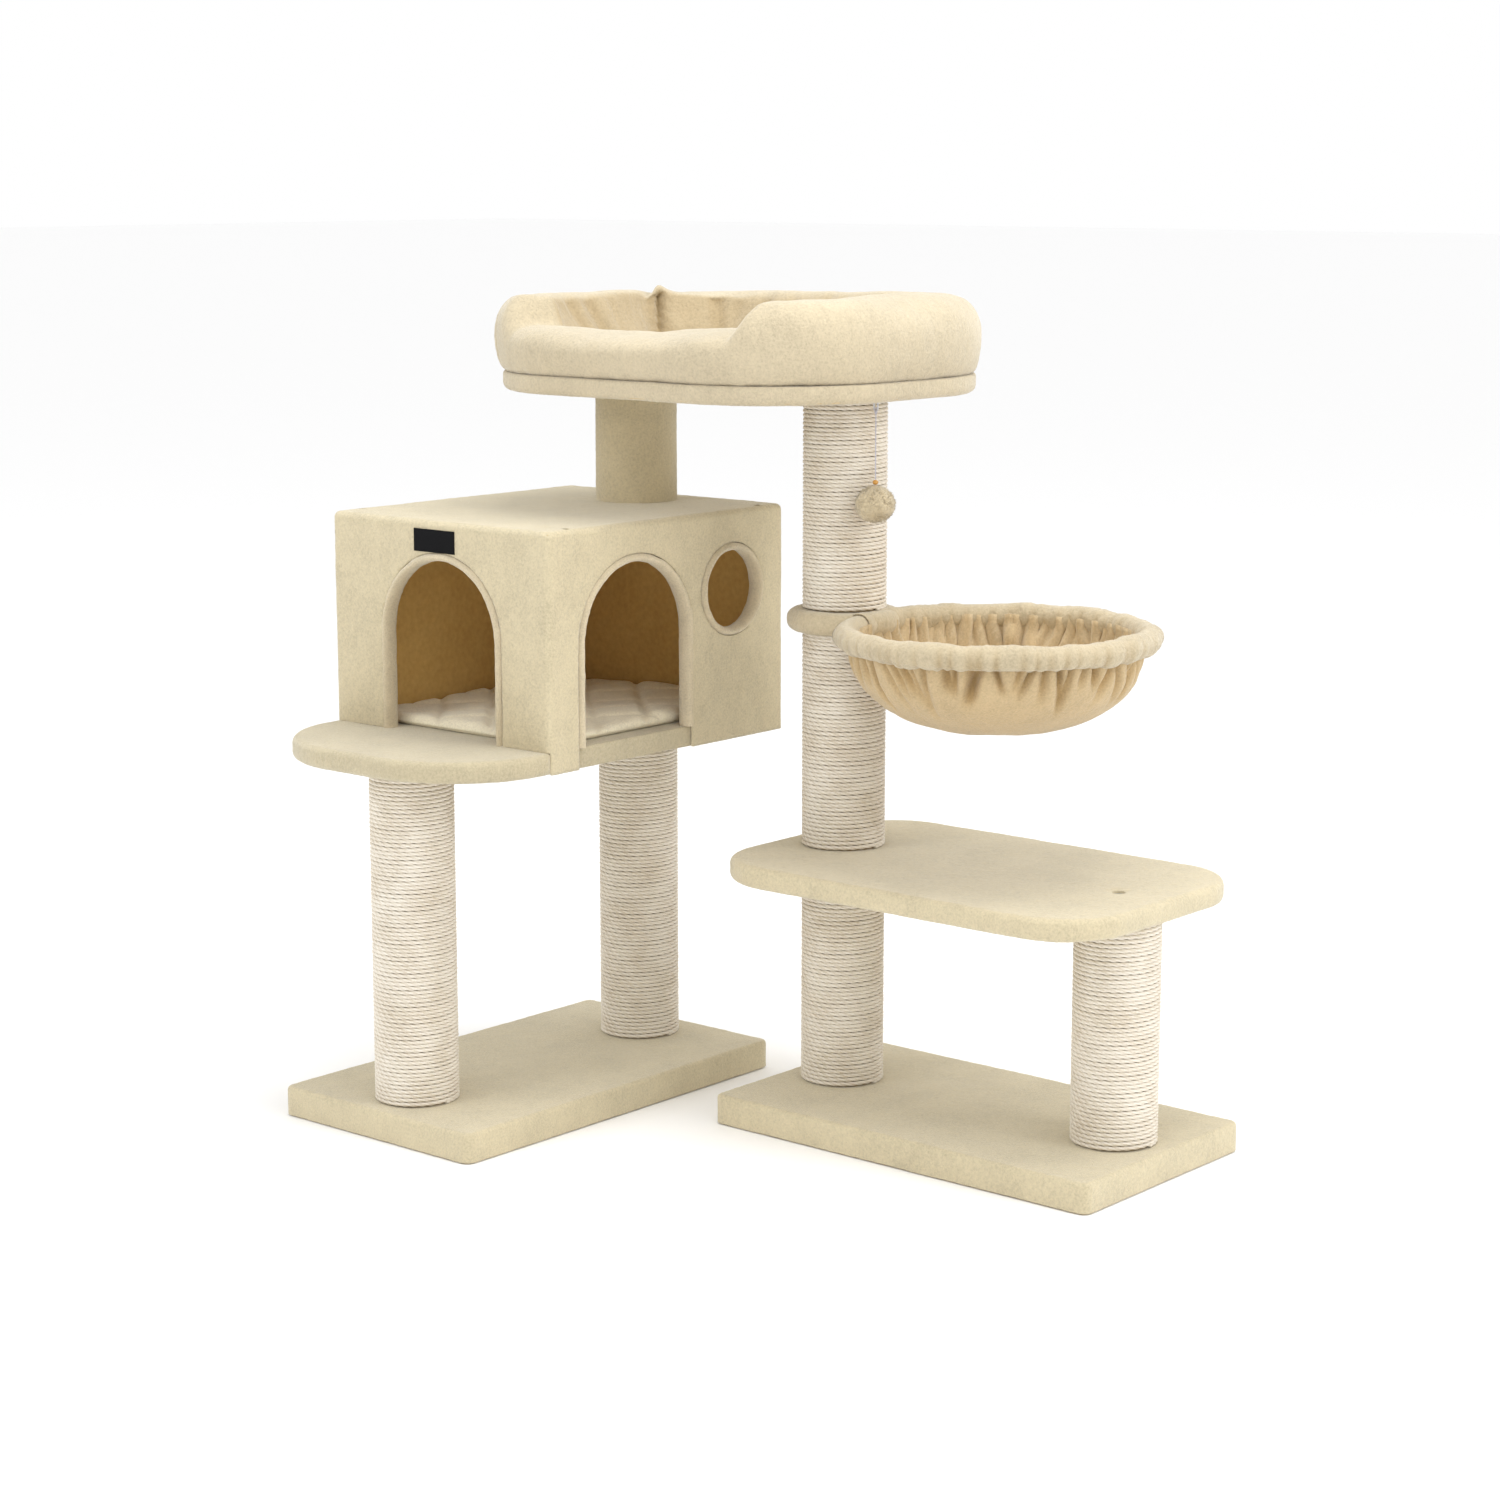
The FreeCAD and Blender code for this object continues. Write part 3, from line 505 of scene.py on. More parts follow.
def plastic(name, colour, roughness):
    material, tree, shader = new_material(name, {"Roughness": roughness})
    grain = noise(tree, object_place(tree), 900.0, 2.0, 0.5)
    paint(tree, shader, grain, (0.3, shade(colour, 0.85)), (0.7, shade(colour, 1.1)))
    bump(tree, shader, grain, 0.2, 0.1 * MM)
    return material


def ribbon(name, colour, thread, shine=0.3):
    """A woven ribbon: fine ribs both ways."""
    material, tree, shader = new_material(name, {"Roughness": 0.8, "Specular IOR Level": shine})
    place = object_place(tree)
    ribs = []
    for direction in ("X", "Z"):
        wave = add(tree, "ShaderNodeTexWave", Scale=1 / thread, bands_direction=direction)
        tree.links.new(place, wave.inputs["Vector"])
        ribs.append(wave.outputs["Fac"])
    weave = combine(tree, "MULTIPLY", ribs[0], ribs[1])
    paint(tree, shader, weave, (0.2, shade(colour, 0.7)), (0.8, shade(colour, 1.5)))
    bump(tree, shader, weave, 0.5, 0.2 * MM)
    return material


BEIGE = (0.605, 0.525, 0.355)
PLUSH = plush("beige_plush", BEIGE)
# Painted shade: the perch's plush has a base colour a little darker than the beige plush, for the shade on
# the perch.
SOFT = plush(
    "soft_beige_plush", (0.562, 0.48, 0.335), pile=2.8 * MM, depth=1.8 * MM, patches=70 * MM, folded=True
)
# Painted shade: the porch's plush is the beige plush made darker, for the shade that the cave casts on the
# porch.
PORCH_SHADED_PLUSH = plush("porch_plush_shaded", shade(BEIGE, 0.86))
TRIM = plush("trim_plush", (0.62, 0.53, 0.37), pile=2.0 * MM)
POUCH = plush("basket_plush", (0.635, 0.51, 0.325), pile=2.4 * MM, sheen=0.35, folded=True)
RIM = plush("basket_rim_plush", (0.54, 0.455, 0.31), pile=3.0 * MM, depth=2.2 * MM, sheen=0.55, folded=True)
MAT = plush("cream_mat_plush", (0.90, 0.82, 0.62), pile=1.9 * MM, sheen=0.5)
BALL = plush("ball_fluff", (0.62, 0.52, 0.35), pile=2.6 * MM, depth=2.0 * MM, sheen=0.7)
SISAL = sisal()
LABEL = ribbon("plain_dark_ribbon", (0.010, 0.010, 0.011), 0.5 * MM, 0.08)
THREAD = ribbon("pale_string", (0.62, 0.60, 0.66), 0.4 * MM)
FIBREBOARD = board("raw_fibreboard", (0.50, 0.30, 0.08), (0.68, 0.45, 0.15), 160.0)
PLYWOOD = board("raw_plywood", (0.50, 0.34, 0.17), (0.72, 0.55, 0.33), 60.0, (1.0, 6.0, 1.0))
CARDBOARD = board("wound_cardboard", (0.30, 0.21, 0.12), (0.46, 0.34, 0.20), 90.0, (1.0, 1.0, 3.0))
STEEL = metal("zinc_plated_steel", (0.62, 0.62, 0.64), 0.35)
PLUG = plastic("black_plug_plastic", (0.03, 0.03, 0.03), 0.5)
BEAD = plastic("amber_bead_plastic", (0.55, 0.27, 0.05), 0.25)


# ---------------- posts
def wound_rope(node):
    """Rope wound on a post: one section turned up the post by a screw, then twisted into three strands."""
    low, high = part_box(node)
    centre = (low + high) / 2
    turns = round((high.z - low.z) / ROPE_PITCH)
    pitch = (high.z - low.z) / turns
    middle = (high.x - low.x) / 2 - ROPE_HALF
    bpy.ops.mesh.primitive_circle_add(
        vertices=8, radius=ROPE_HALF, location=(middle, 0, 0), rotation=(math.pi / 2, math.pi / 8, 0)
    )
    rope = named(node.replace("_rope", "_sisal"))
    edit(rope)
    bpy.ops.mesh.select_all(action="SELECT")
    bpy.ops.transform.resize(value=(1, 1, pitch * ROPE_RISE / ROPE_HALF), center_override=(middle, 0, 0))
    leave()
    modify(
        rope, "SCREW", axis="Z", angle=math.tau, screw_offset=pitch, iterations=turns,
        steps=ROPE_STEPS, render_steps=ROPE_STEPS,
    )
    edit(rope)
    for is_top in (False, True):
        select_open_edges(rope, lambda edge: (edge.verts[0].co.z > turns * pitch / 2) == is_top)
        bpy.ops.mesh.edge_face_add()
    close_up()
    co = points_of(rope)
    angle, radius = polar(co, Vector((0, 0, 0)))
    turn = np.round(co[:, 2] / pitch - angle / math.tau)
    whole = turn + angle / math.tau
    rise = co[:, 2] - whole * pitch
    section = np.arctan2(rise / (pitch * ROPE_RISE), (radius - middle) / ROPE_HALF)
    along = whole * math.tau * middle
    phase = 3 * section + math.tau * along / ROPE_STRAND
    wander = 0.12 * MM * np.sin(along * 41.0) + 0.10 * MM * np.sin(along * 17.3 + 1.0)
    lobe = 1.0 + 0.15 * np.cos(phase)
    radius = middle - 0.35 * MM + (radius - middle) * lobe + wander * 0.6
    rise = rise * (1.02 + 0.15 * np.cos(phase)) + wander
    level = np.clip(whole * pitch, pitch / 2, high.z - low.z - pitch / 2)
    rope_z = np.clip(low.z + level + rise, low.z, high.z)
    rope_x, rope_y = centre.x + radius * np.cos(angle), centre.y + radius * np.sin(angle)
    set_points(rope, np.stack([rope_x, rope_y, rope_z], 1))
    keep_values(rope, "along", along)
    keep_values(rope, "around", section / math.tau)
    # Painted shade: the groove value darkens the colour between the strands and where the turns meet.
    between = (0.75 - 0.5 * np.cos(phase)) * blend_step(np.abs(section), 1.1, 1.9)
    keep_values(rope, "groove", 0.34 * (1 - np.cos(phase)) / 2 + between)
    smooth(rope)
    settle(rope, "tree", SISAL, "sisal", node)


def plush_post():
    """The short post between roof and perch, wrapped in plush with one seam down its back."""
    seam_turn, seam_depth, seam_width = 2.2, 0.035, 0.03
    low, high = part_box("neck_post_plush")
    centre = (low + high) / 2
    radius = (high.x - low.x) / 2
    bpy.ops.mesh.primitive_cylinder_add(vertices=96, radius=radius, depth=high.z - low.z, location=centre)
    post = named("neck_post_wrap")
    grid_cut(post, 5 * MM, "z")
    nap(post, 0.8 * MM, 0.3 * MM)
    co = points_of(post)
    angle, out = polar(co, centre)
    pinch = 1 - seam_depth * np.exp(-((angle - seam_turn) / seam_width) ** 2)
    spread(co, centre, np.where(out > radius * 0.9, pinch, 1))
    set_points(post, co)
    smooth(post, 50)
    settle(post, "tree", PLUSH, "plush", "neck_post_plush")


# ---------------- bases, shelf and perch plate
def dimple(obj, x, y, level, radius, depth):
    """Presses the plush down round a sunk fastener."""
    co = points_of(obj)
    near = np.hypot(co[:, 0] - x, co[:, 1] - y) / radius
    top = co[:, 2] > level - 4 * MM
    co[:, 2] -= np.where(top, depth * np.exp(-near ** 2 * 1.6), 0)
    set_points(obj, co)


def fine_patch(obj, x, y, half, cell):
    """Cuts a finer grid through a small place on a slab."""
    edit(obj)
    for axis, middle in ((0, x), (1, y)):
        for step in range(round(2 * half / cell) + 1):
            cut_across(axis, middle - half + step * cell)
    leave()


def bases():
    for node in ("cave_base_cover", "shelf_base_cover"):
        low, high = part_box(node)
        piece = slab(node.replace("_cover", "_plush"), low, high, BASE_CORNER, BASE_CORNER, BASE_EDGE, 0)
        nap(piece)
        smooth(piece, 50)
        settle(piece, "tree", PLUSH, "plush", node)


def shelf():
    low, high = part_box("shelf_cover")
    bolt = middle_of("short_post_rope")
    piece = slab("shelf_plush", low, high, SHELF_CORNER, SHELF_CORNER, SLAB_EDGE, SLAB_EDGE)
    fine_patch(piece, bolt.x, bolt.y, 14 * MM, 2 * MM)
    nap(piece, 1.1 * MM, 0.4 * MM)
    dimple(piece, bolt.x, bolt.y, high.z, 12 * MM, 2.8 * MM)
    bpy.ops.mesh.primitive_cylinder_add(
        vertices=32, radius=BOLT_MOUTH, depth=14 * MM, location=(bolt.x, bolt.y, high.z)
    )
    carve(piece, named("hole_tool"))
    smooth(piece, 60)
    settle(piece, "tree", PLUSH, "plush", "shelf_cover")


def perch_plate():
    low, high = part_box("perch_cover")
    piece = slab("perch_plate_plush", low, high, PERCH_CORNER, PERCH_CORNER, 3 * MM, SLAB_EDGE + 1 * MM)
    nap(piece, 1.2 * MM, 0.4 * MM)
    settle(piece, "tree", SOFT, "plush", "perch_cover")


# ---------------- cave
def cave_floor():
    """The floor with its porch. Inside the walls it is drawn in a little."""
    low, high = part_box("cave_floor_cover")
    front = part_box("cave_cover")[0].y
    piece = slab("cave_floor_plush", low, high, PORCH_CORNER, 8 * MM, SLAB_EDGE, SLAB_EDGE)
    nap(piece)
    co = points_of(piece)
    inset = 4 * MM * blend_step(co[:, 1], front - 1 * MM, front + 5 * MM)
    co[:, 0] = np.clip(co[:, 0], low.x + inset, high.x - inset)
    set_points(piece, co)
    # The porch takes the darker copy of the beige plush: painted shade.
    settle(piece, "tree", PORCH_SHADED_PLUSH, "plush", "cave_floor_cover")


def cave_cover():
    """The glued plush skin of the box, copied from its shell and cut into a grid so that it can be uneven."""
    piece = placed("cave_plush", frame["nodes"]["cave_cover"].data.copy())
    edit(piece)
    bpy.ops.mesh.select_all(action="SELECT")
    bpy.ops.mesh.remove_doubles(threshold=0.01 * MM)
    bpy.ops.mesh.select_all(action="SELECT")
    bpy.ops.mesh.dissolve_limited(angle_limit=math.radians(0.5))
    leave()
    grid_cut(piece, CELL)
    low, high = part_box("cave_cover")
    nap(piece, 1.0 * MM, 0.35 * MM)
    for x, y in (
        (low.x + 20 * MM, high.y - 14 * MM),
        (high.x - 36 * MM, low.y + 36 * MM),
        (high.x - 99 * MM, high.y - 25 * MM),
    ):
        dimple(piece, x, y, high.z, 9 * MM, 1.6 * MM)
    smooth(piece, 55)
    settle(piece, "tree", PLUSH, "plush", "cave_cover")


def rolled_rim(name, node, axis, is_arch):
    """A padded roll of plush round an opening: one section spun round the top, then drawn down both jambs."""
    low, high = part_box(node)
    centre = (low + high) / 2
    along_y = axis == "y"
    deep = (high.y - low.y) if along_y else (high.x - low.x)
    outer = (high.x - low.x) / 2 if along_y else (high.y - low.y) / 2
    ring = outer - DOOR_ROLL / 2
    spring = high.z - outer
    direction = (0, 1, 0) if along_y else (1, 0, 0)
    side = Vector((1, 0, 0)) if along_y else Vector((0, 1, 0))
    hub = Vector((centre.x, centre.y, spring))
    bpy.ops.mesh.primitive_circle_add(vertices=20, radius=1, location=hub + side * ring)
    rim = named(name)
    edit(rim)
    bpy.ops.mesh.select_all(action="SELECT")
    scale = (DOOR_ROLL * 0.52, deep / 2, 1) if along_y else (deep / 2, DOOR_ROLL * 0.52, 1)
    bpy.ops.transform.resize(value=scale, center_override=hub + side * ring)
    steps, turn = (60, math.pi) if is_arch else (96, math.tau)
    bpy.ops.mesh.spin(steps=steps, angle=turn if along_y else -turn, center=hub, axis=direction)
    if is_arch:
        foot = spring - low.z
        count = round(foot / (5 * MM))
        for step in range(count):
            level = min(v.co.z for v in bmesh.from_edit_mesh(rim.data).verts)
            select_open_edges(rim, lambda edge: all(abs(v.co.z - level) < 1e-5 for v in edge.verts))
            bpy.ops.mesh.extrude_region_move(TRANSFORM_OT_translate={"value": (0, 0, -foot / count)})
        for end in (-1, 1):
            select_open_edges(rim, lambda edge: (edge.verts[0].co - hub).dot(side) * end > 0)
            bpy.ops.mesh.edge_face_add()
    close_up(0.02 * MM)
    ripple(rim, 14 * MM, 1.4 * MM)
    ripple(rim, 4 * MM, 1.0 * MM)
    smooth(rim, 70)
    settle(rim, "tree", TRIM, "soft_plush", node)


def cave_label():
    """A plain folded ribbon sewn on above the door."""
    low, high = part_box("cave_label")
    label = slab("plain_label", low, high, 0.4 * MM, 0.3 * MM, 0.3 * MM, 0.3 * MM, None)
    grid_cut(label, 3 * MM, "xz")
    ripple(label, 20 * MM, 0.5 * MM)
    smooth(label, 40)
    settle(label, "tree", LABEL, "label_ribbon", "cave_label")


def cave_mat():
    """A loose quilted mat: pinned along crossing diagonals and blown up between them."""
    low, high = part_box("cave_mat")
    inset = Vector((2, 2, 0)) * MM
    top = high - inset - Vector((0, 0, 7 * MM))
    mat = slab("cave_quilted_mat", low + inset, top, MAT_CORNER, MAT_CORNER, 5 * MM, 4 * MM)
    remesh(mat, 4.5 * MM)
    co = points_of(mat)
    across = (co[:, 0] + co[:, 1]) / QUILT
    along = (co[:, 0] - co[:, 1]) / QUILT
    nearest = np.minimum(np.abs(across - np.round(across)), np.abs(along - np.round(along)))
    seam = nearest * QUILT / math.sqrt(2)
    line = np.exp(-(seam / (3.2 * MM)) ** 2)
    upper = co[:, 2] > low.z + 8 * MM
    held = (seam < 2.6 * MM) | (co[:, 2] < low.z + 2 * MM)
    co[:, 2] -= np.where(upper, line * 5 * MM, 0)
    set_points(mat, co)
    puff(mat, 5.0, 8 * MM, held)
    co = points_of(mat)
    lift = blend_step(co[:, 2], low.z + 1 * MM, high.z)
    wave = np.sin(co[:, 0] * 31 + 0.6) * np.sin(co[:, 1] * 24 + 0.9)
    co[:, 2] += lift * wave * 4.5 * MM
    co[:, 2] = np.maximum(co[:, 2], low.z + 0.3 * MM)
    set_points(mat, co)
    refine(mat)
    ripple(mat, 6 * MM, 0.4 * MM)
    smooth(mat)
    settle(mat, "tree", MAT, "mat_plush", "cave_mat")


# ---------------- basket
def basket_centre():
    post = middle_of("tall_post_upper_rope")
    return Vector((post.x + BASKET_REACH, post.y, middle_of("basket_frame_cover").z))


def basket_collar():
    """The padded eye that is clamped in the tall post, and the padded ring behind the rim."""
    post = middle_of("tall_post_upper_rope")
    low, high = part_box("basket_frame_cover")
    bpy.ops.mesh.primitive_cylinder_add(
        vertices=96, radius=post.x - low.x, depth=high.z - low.z,
        location=(post.x, post.y, (low.z + high.z) / 2),
    )
    collar = named("basket_collar")
    edit(collar)
    select_edges(collar, lambda a, b: abs(a.z - b.z) < FLUSH)
    bpy.ops.mesh.bevel(offset=COLLAR_EDGE, offset_type="OFFSET", segments=6, affect="EDGES")
    leave()
    grid_cut(collar, 7 * MM, "xy")
    ripple(collar, 30 * MM, 2.0 * MM)
    ripple(collar, 9 * MM, 0.6 * MM)
    smooth(collar)
    settle(collar, "basket", RIM, "soft_plush")
    bpy.ops.mesh.primitive_torus_add(
        major_segments=180, minor_segments=16, major_radius=BASKET_RING,
        minor_radius=(high.z - low.z) / 2 - 0.7 * MM, location=basket_centre(),
    )
    sleeve = named("basket_ring_sleeve")
    ripple(sleeve, 20 * MM, 0.5 * MM)
    smooth(sleeve)
    settle(sleeve, "basket", RIM, "soft_plush")


def pleats():
    """Place, width, depth, length and slant of each gather. No two are alike."""
    chance = np.random.default_rng(11)
    place = (np.arange(PLEATS) + chance.uniform(-0.36, 0.36, PLEATS)) * math.tau / PLEATS
    width = chance.uniform(2.6, 4.8, PLEATS) * MM
    depth = chance.uniform(4.5, 11.0, PLEATS) * MM
    length = chance.uniform(30, 72, PLEATS) * MM
    slant = chance.uniform(-3.0, 3.0, PLEATS)
    return zip(place, width, depth, length, slant)


def gathered(angle, down):
    """How far the cloth is drawn in at an angle round the basket and a distance below the rim."""
    drawn = np.zeros(len(angle))
    for place, width, depth, length, slant in pleats():
        turn = (angle - place - slant * down + math.pi) % math.tau - math.pi
        across = turn * BASKET_RING
        grow = 1 + 0.8 * np.clip(down / length, 0, 1)
        fading = 1 - blend_step(down, length * 0.25, length)
        drawn += depth * np.exp(-(across / (width * grow)) ** 2) * fading
    return drawn


def cover_ring(rim, centre, end):
    """Keeps the roll clear of the wooden ring's corners, all the way round except at its two ends."""
    co = points_of(rim)
    angle, out = polar(co, centre)
    aside, above = out - BASKET_RING, co[:, 2] - centre.z
    grow = np.maximum(RIM_LEAST / np.maximum(np.hypot(aside, above), 1 * MM), 1)
    grow = np.where(np.abs(angle) > math.pi - end, 1, grow)
    spread(co, centre, (BASKET_RING + aside * grow) / out)
    co[:, 2] = centre.z + above * grow
    set_points(rim, co)


def basket_rim():
    """The pouch's rolled edge round the ring. It stops at the collar on both sides."""
    centre = basket_centre()
    low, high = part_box("basket_frame_cover")
    first = math.pi + RIM_GAP
    bpy.ops.mesh.primitive_circle_add(
        vertices=20, radius=(high.z - low.z) / 2 + 1 * MM, rotation=(math.pi / 2, 0, first),
        location=centre + Vector((math.cos(first), math.sin(first), 0)) * BASKET_RING,
    )
    rim = named("basket_rim")
    edit(rim)
    bpy.ops.mesh.select_all(action="SELECT")
    bpy.ops.mesh.spin(steps=420, angle=math.tau - 2 * RIM_GAP, center=centre, axis=(0, 0, 1))
    for end in (-1, 1):
        select_open_edges(rim, lambda edge: (edge.verts[0].co.y - centre.y) * end > 0)
        bpy.ops.mesh.edge_face_add()
        for thickness, depth in ((2.5 * MM, 4 * MM), (3.5 * MM, 2 * MM)):
            bpy.ops.mesh.inset(thickness=thickness, depth=depth)
    close_up()
    co = points_of(rim)
    normal = normals_of(rim)
    angle = polar(co, centre)[0]
    swell = np.sin(angle * 4 + 0.7) * 0.6 + np.sin(angle * 9 + 2.0) * 0.5 + np.sin(angle * 23) * 0.4
    pinch = gathered(angle, np.zeros(len(angle))) * (0.16 - 0.15 * normal[:, 2])
    co += normal * (swell * MM - pinch)[:, None]
    co[:, 2] += (np.sin(angle * 13 + 0.4) * 0.7 + np.sin(angle * 5) * 0.6) * MM
    set_points(rim, co)
    # Painted shade: the fold value darkens the rim where the gathers pinch it in.
    keep_values(rim, "fold", np.clip(pinch / (2.4 * MM), 0, 1) * 0.7)
    ripple(rim, 11 * MM, 3.0 * MM)
    ripple(rim, 4 * MM, 1.1 * MM)
    cover_ring(rim, centre, RIM_GAP + math.radians(2))
    smooth(rim)
    settle(rim, "basket", RIM, "soft_plush", "basket_frame_cover")


def pouch():
    """The gathered bowl: a profile spun round, pleated under the rim and slack at the bottom."""
    roundness = 0.88
    rings = 44
    centre = basket_centre()
    low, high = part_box("basket_pouch")
    radius = (high.x - low.x) / 2
    drop = high.z - low.z + (centre.z - high.z)
    bpy.ops.mesh.primitive_plane_add(size=1, location=(0, 0, 0))
    bowl = named("basket_bowl")
    edit(bowl)
    bpy.ops.mesh.select_all(action="SELECT")
    bpy.ops.mesh.delete(type="VERT")
    bm = bmesh.from_edit_mesh(bowl.data)
    line = []
    for step in range(rings + 1):
        angle = math.pi / 2 * step / rings
        out = (radius - 1 * MM) * math.sin(angle) ** roundness
        fall = drop * max(math.cos(angle), 0.0) ** roundness
        line.append(bm.verts.new((centre.x + out, centre.y, centre.z - fall)))
    for a, b in zip(line, line[1:]):
        bm.edges.new((a, b))
    bmesh.update_edit_mesh(bowl.data)
    bpy.ops.mesh.select_all(action="SELECT")
    bpy.ops.mesh.spin(steps=480, angle=math.tau, center=centre, axis=(0, 0, 1))
    close_up(0.1 * MM)
    co = points_of(bowl)
    angle, out = polar(co, centre)
    down = np.maximum(centre.z - 11 * MM - co[:, 2], 0)
    drawn = gathered(angle, down) * blend_step(out, 30 * MM, 90 * MM)
    slack = np.sin(angle * 2 + 0.4) * 1.6 + np.sin(angle * 5 + 1.0) * 1.2
    slack = slack * np.sin(np.clip(down / drop, 0, 1) * math.pi) * MM
    scale = (out + slack + 1.0 * MM - drawn) / np.maximum(out, 1e-6)
    spread(co, centre, np.where(out < 5 * MM, 1, scale))
    co[:, 2] += drawn * 0.35
    set_points(bowl, co)
    modify(bowl, "SOLIDIFY", thickness=POUCH_CLOTH, offset=-1)
    co = points_of(bowl)
    down = np.maximum(centre.z - 11 * MM - co[:, 2], 0)
    gather_shade = np.clip(gathered(polar(co, centre)[0], down) / (7 * MM), 0, 1)
    outside = ((co - np.array(centre)) * normals_of(bowl)).sum(1) > 0
    # Painted shade: the fold value darkens the gathers' hollows, and the whole outside of the bowl somewhat
    # as well.
    keep_values(bowl, "fold", np.where(outside, 0.45 + 0.55 * gather_shade, 0.5 * gather_shade))
    ripple(bowl, 34 * MM, 3.0 * MM)
    smooth(bowl)
    settle(bowl, "basket", POUCH, "soft_plush", "basket_pouch")


# ---------------- perch
# The bolster's seams: a point on its inner side, the way the seam runs from there, its pull in mm, and
# whether two ends of the roll meet in it
BOLSTER_SEAMS = (
    ((-0.292, 0.176), 131, 9.0, True),
    ((-0.271, 0.013), 228, 8.0, True),
    ((0.000, 0.205), 45, 2.0, False),
)


def from_edge(co, low, high, corner):
    """Each point's distance inside a round-cornered plan outline, and the way out of it."""
    middle = np.array([(low.x + high.x) / 2, (low.y + high.y) / 2])
    half = np.array([(high.x - low.x) / 2, (high.y - low.y) / 2]) - corner
    away = co[:, :2] - middle
    over = np.abs(away) - half
    both = np.maximum(over, 0)
    size = np.linalg.norm(both, axis=1)
    flat = np.where((over[:, 0] > over[:, 1])[:, None], [[1.0, 0.0]], [[0.0, 1.0]])
    way = np.where((size > 1e-9)[:, None], both / np.maximum(size, 1e-9)[:, None], flat)
    way = way * np.where(away < 0, -1, 1)
    inside = corner - np.where(size > 1e-9, size, over.max(1))
    return inside, way


def beside_seam(co, start, heading, before):
    """How far each point lies to the side of a seam, and whether it lies past a point before its start."""
    along = (math.cos(math.radians(heading)), math.sin(math.radians(heading)))
    dx, dy = co[:, 0] - start[0], co[:, 1] - start[1]
    return dx * along[1] - dy * along[0], dx * along[0] + dy * along[1] > -before


def bell(value, width):
    """1 where the value is nought, and less and less beside it."""
    return np.exp(-(value / width) ** 2)


def bolster_ring(low, high):
    """The plain roll before it is shaped: a slab without its middle, blown up between its seams."""
    shy = 2 * MM
    inner = BOLSTER_WIDTH - shy
    top = high.z - 9 * MM
    ring = slab(
        "perch_bolster_roll", (low.x + shy, low.y + shy, low.z + 1 * MM), (high.x - shy, high.y - shy, top),
        PERCH_CORNER - shy, PERCH_CORNER - shy, 24 * MM, 2 * MM, None,
    )
    core = slab(
        "core_tool",
        (low.x + inner, low.y + inner, low.z - 10 * MM), (high.x - inner, high.y - inner, top + 10 * MM),
        PERCH_CORNER - inner, PERCH_CORNER - inner, 0, 0, None,
    )
    carve(ring, core)
    remesh(ring, 6 * MM)
    relax(ring, 14)
    co = points_of(ring)
    held = co[:, 2] < low.z + 4 * MM
    inward = np.zeros(len(co))
    for start, heading, pull, deep in BOLSTER_SEAMS:
        across, ahead = beside_seam(co, start, heading, 30 * MM)
        inward += bell(across, 6 * MM) * ahead * pull * MM
        if deep:
            held |= (np.abs(across) < 3.5 * MM) & ahead
    co -= normals_of(ring) * inward[:, None]
    set_points(ring, co)
    puff(ring, 4.5, 12 * MM, held)
    refine(ring)
    return ring


def front_dip(co, low, middle):
    """How much of the front's lowering each point takes: all along the lip, none behind and on the right."""
    left = co[:, 0] - low.x
    hub_x, hub_y = low.x + PERCH_CORNER, low.y + PERCH_CORNER
    turn = np.degrees(np.arctan2(co[:, 1] - hub_y, co[:, 0] - hub_x)) % 360
    dip = np.where(co[:, 1] > middle.y, 0, np.where(co[:, 0] > hub_x, 1, blend_step(turn, 238, 249)))
    dip *= 0.78 + 0.10 * blend_step(left, 80 * MM, 215 * MM)
    dip = dip * (1 - 0.12 * blend_step(left, 290 * MM, 370 * MM)) * (1 - blend_step(left, 387 * MM, 412 * MM))
    dip *= 1 - blend_step(co[:, 1], low.y + 120 * MM, low.y + 200 * MM) * (co[:, 0] > hub_x)
    return dip


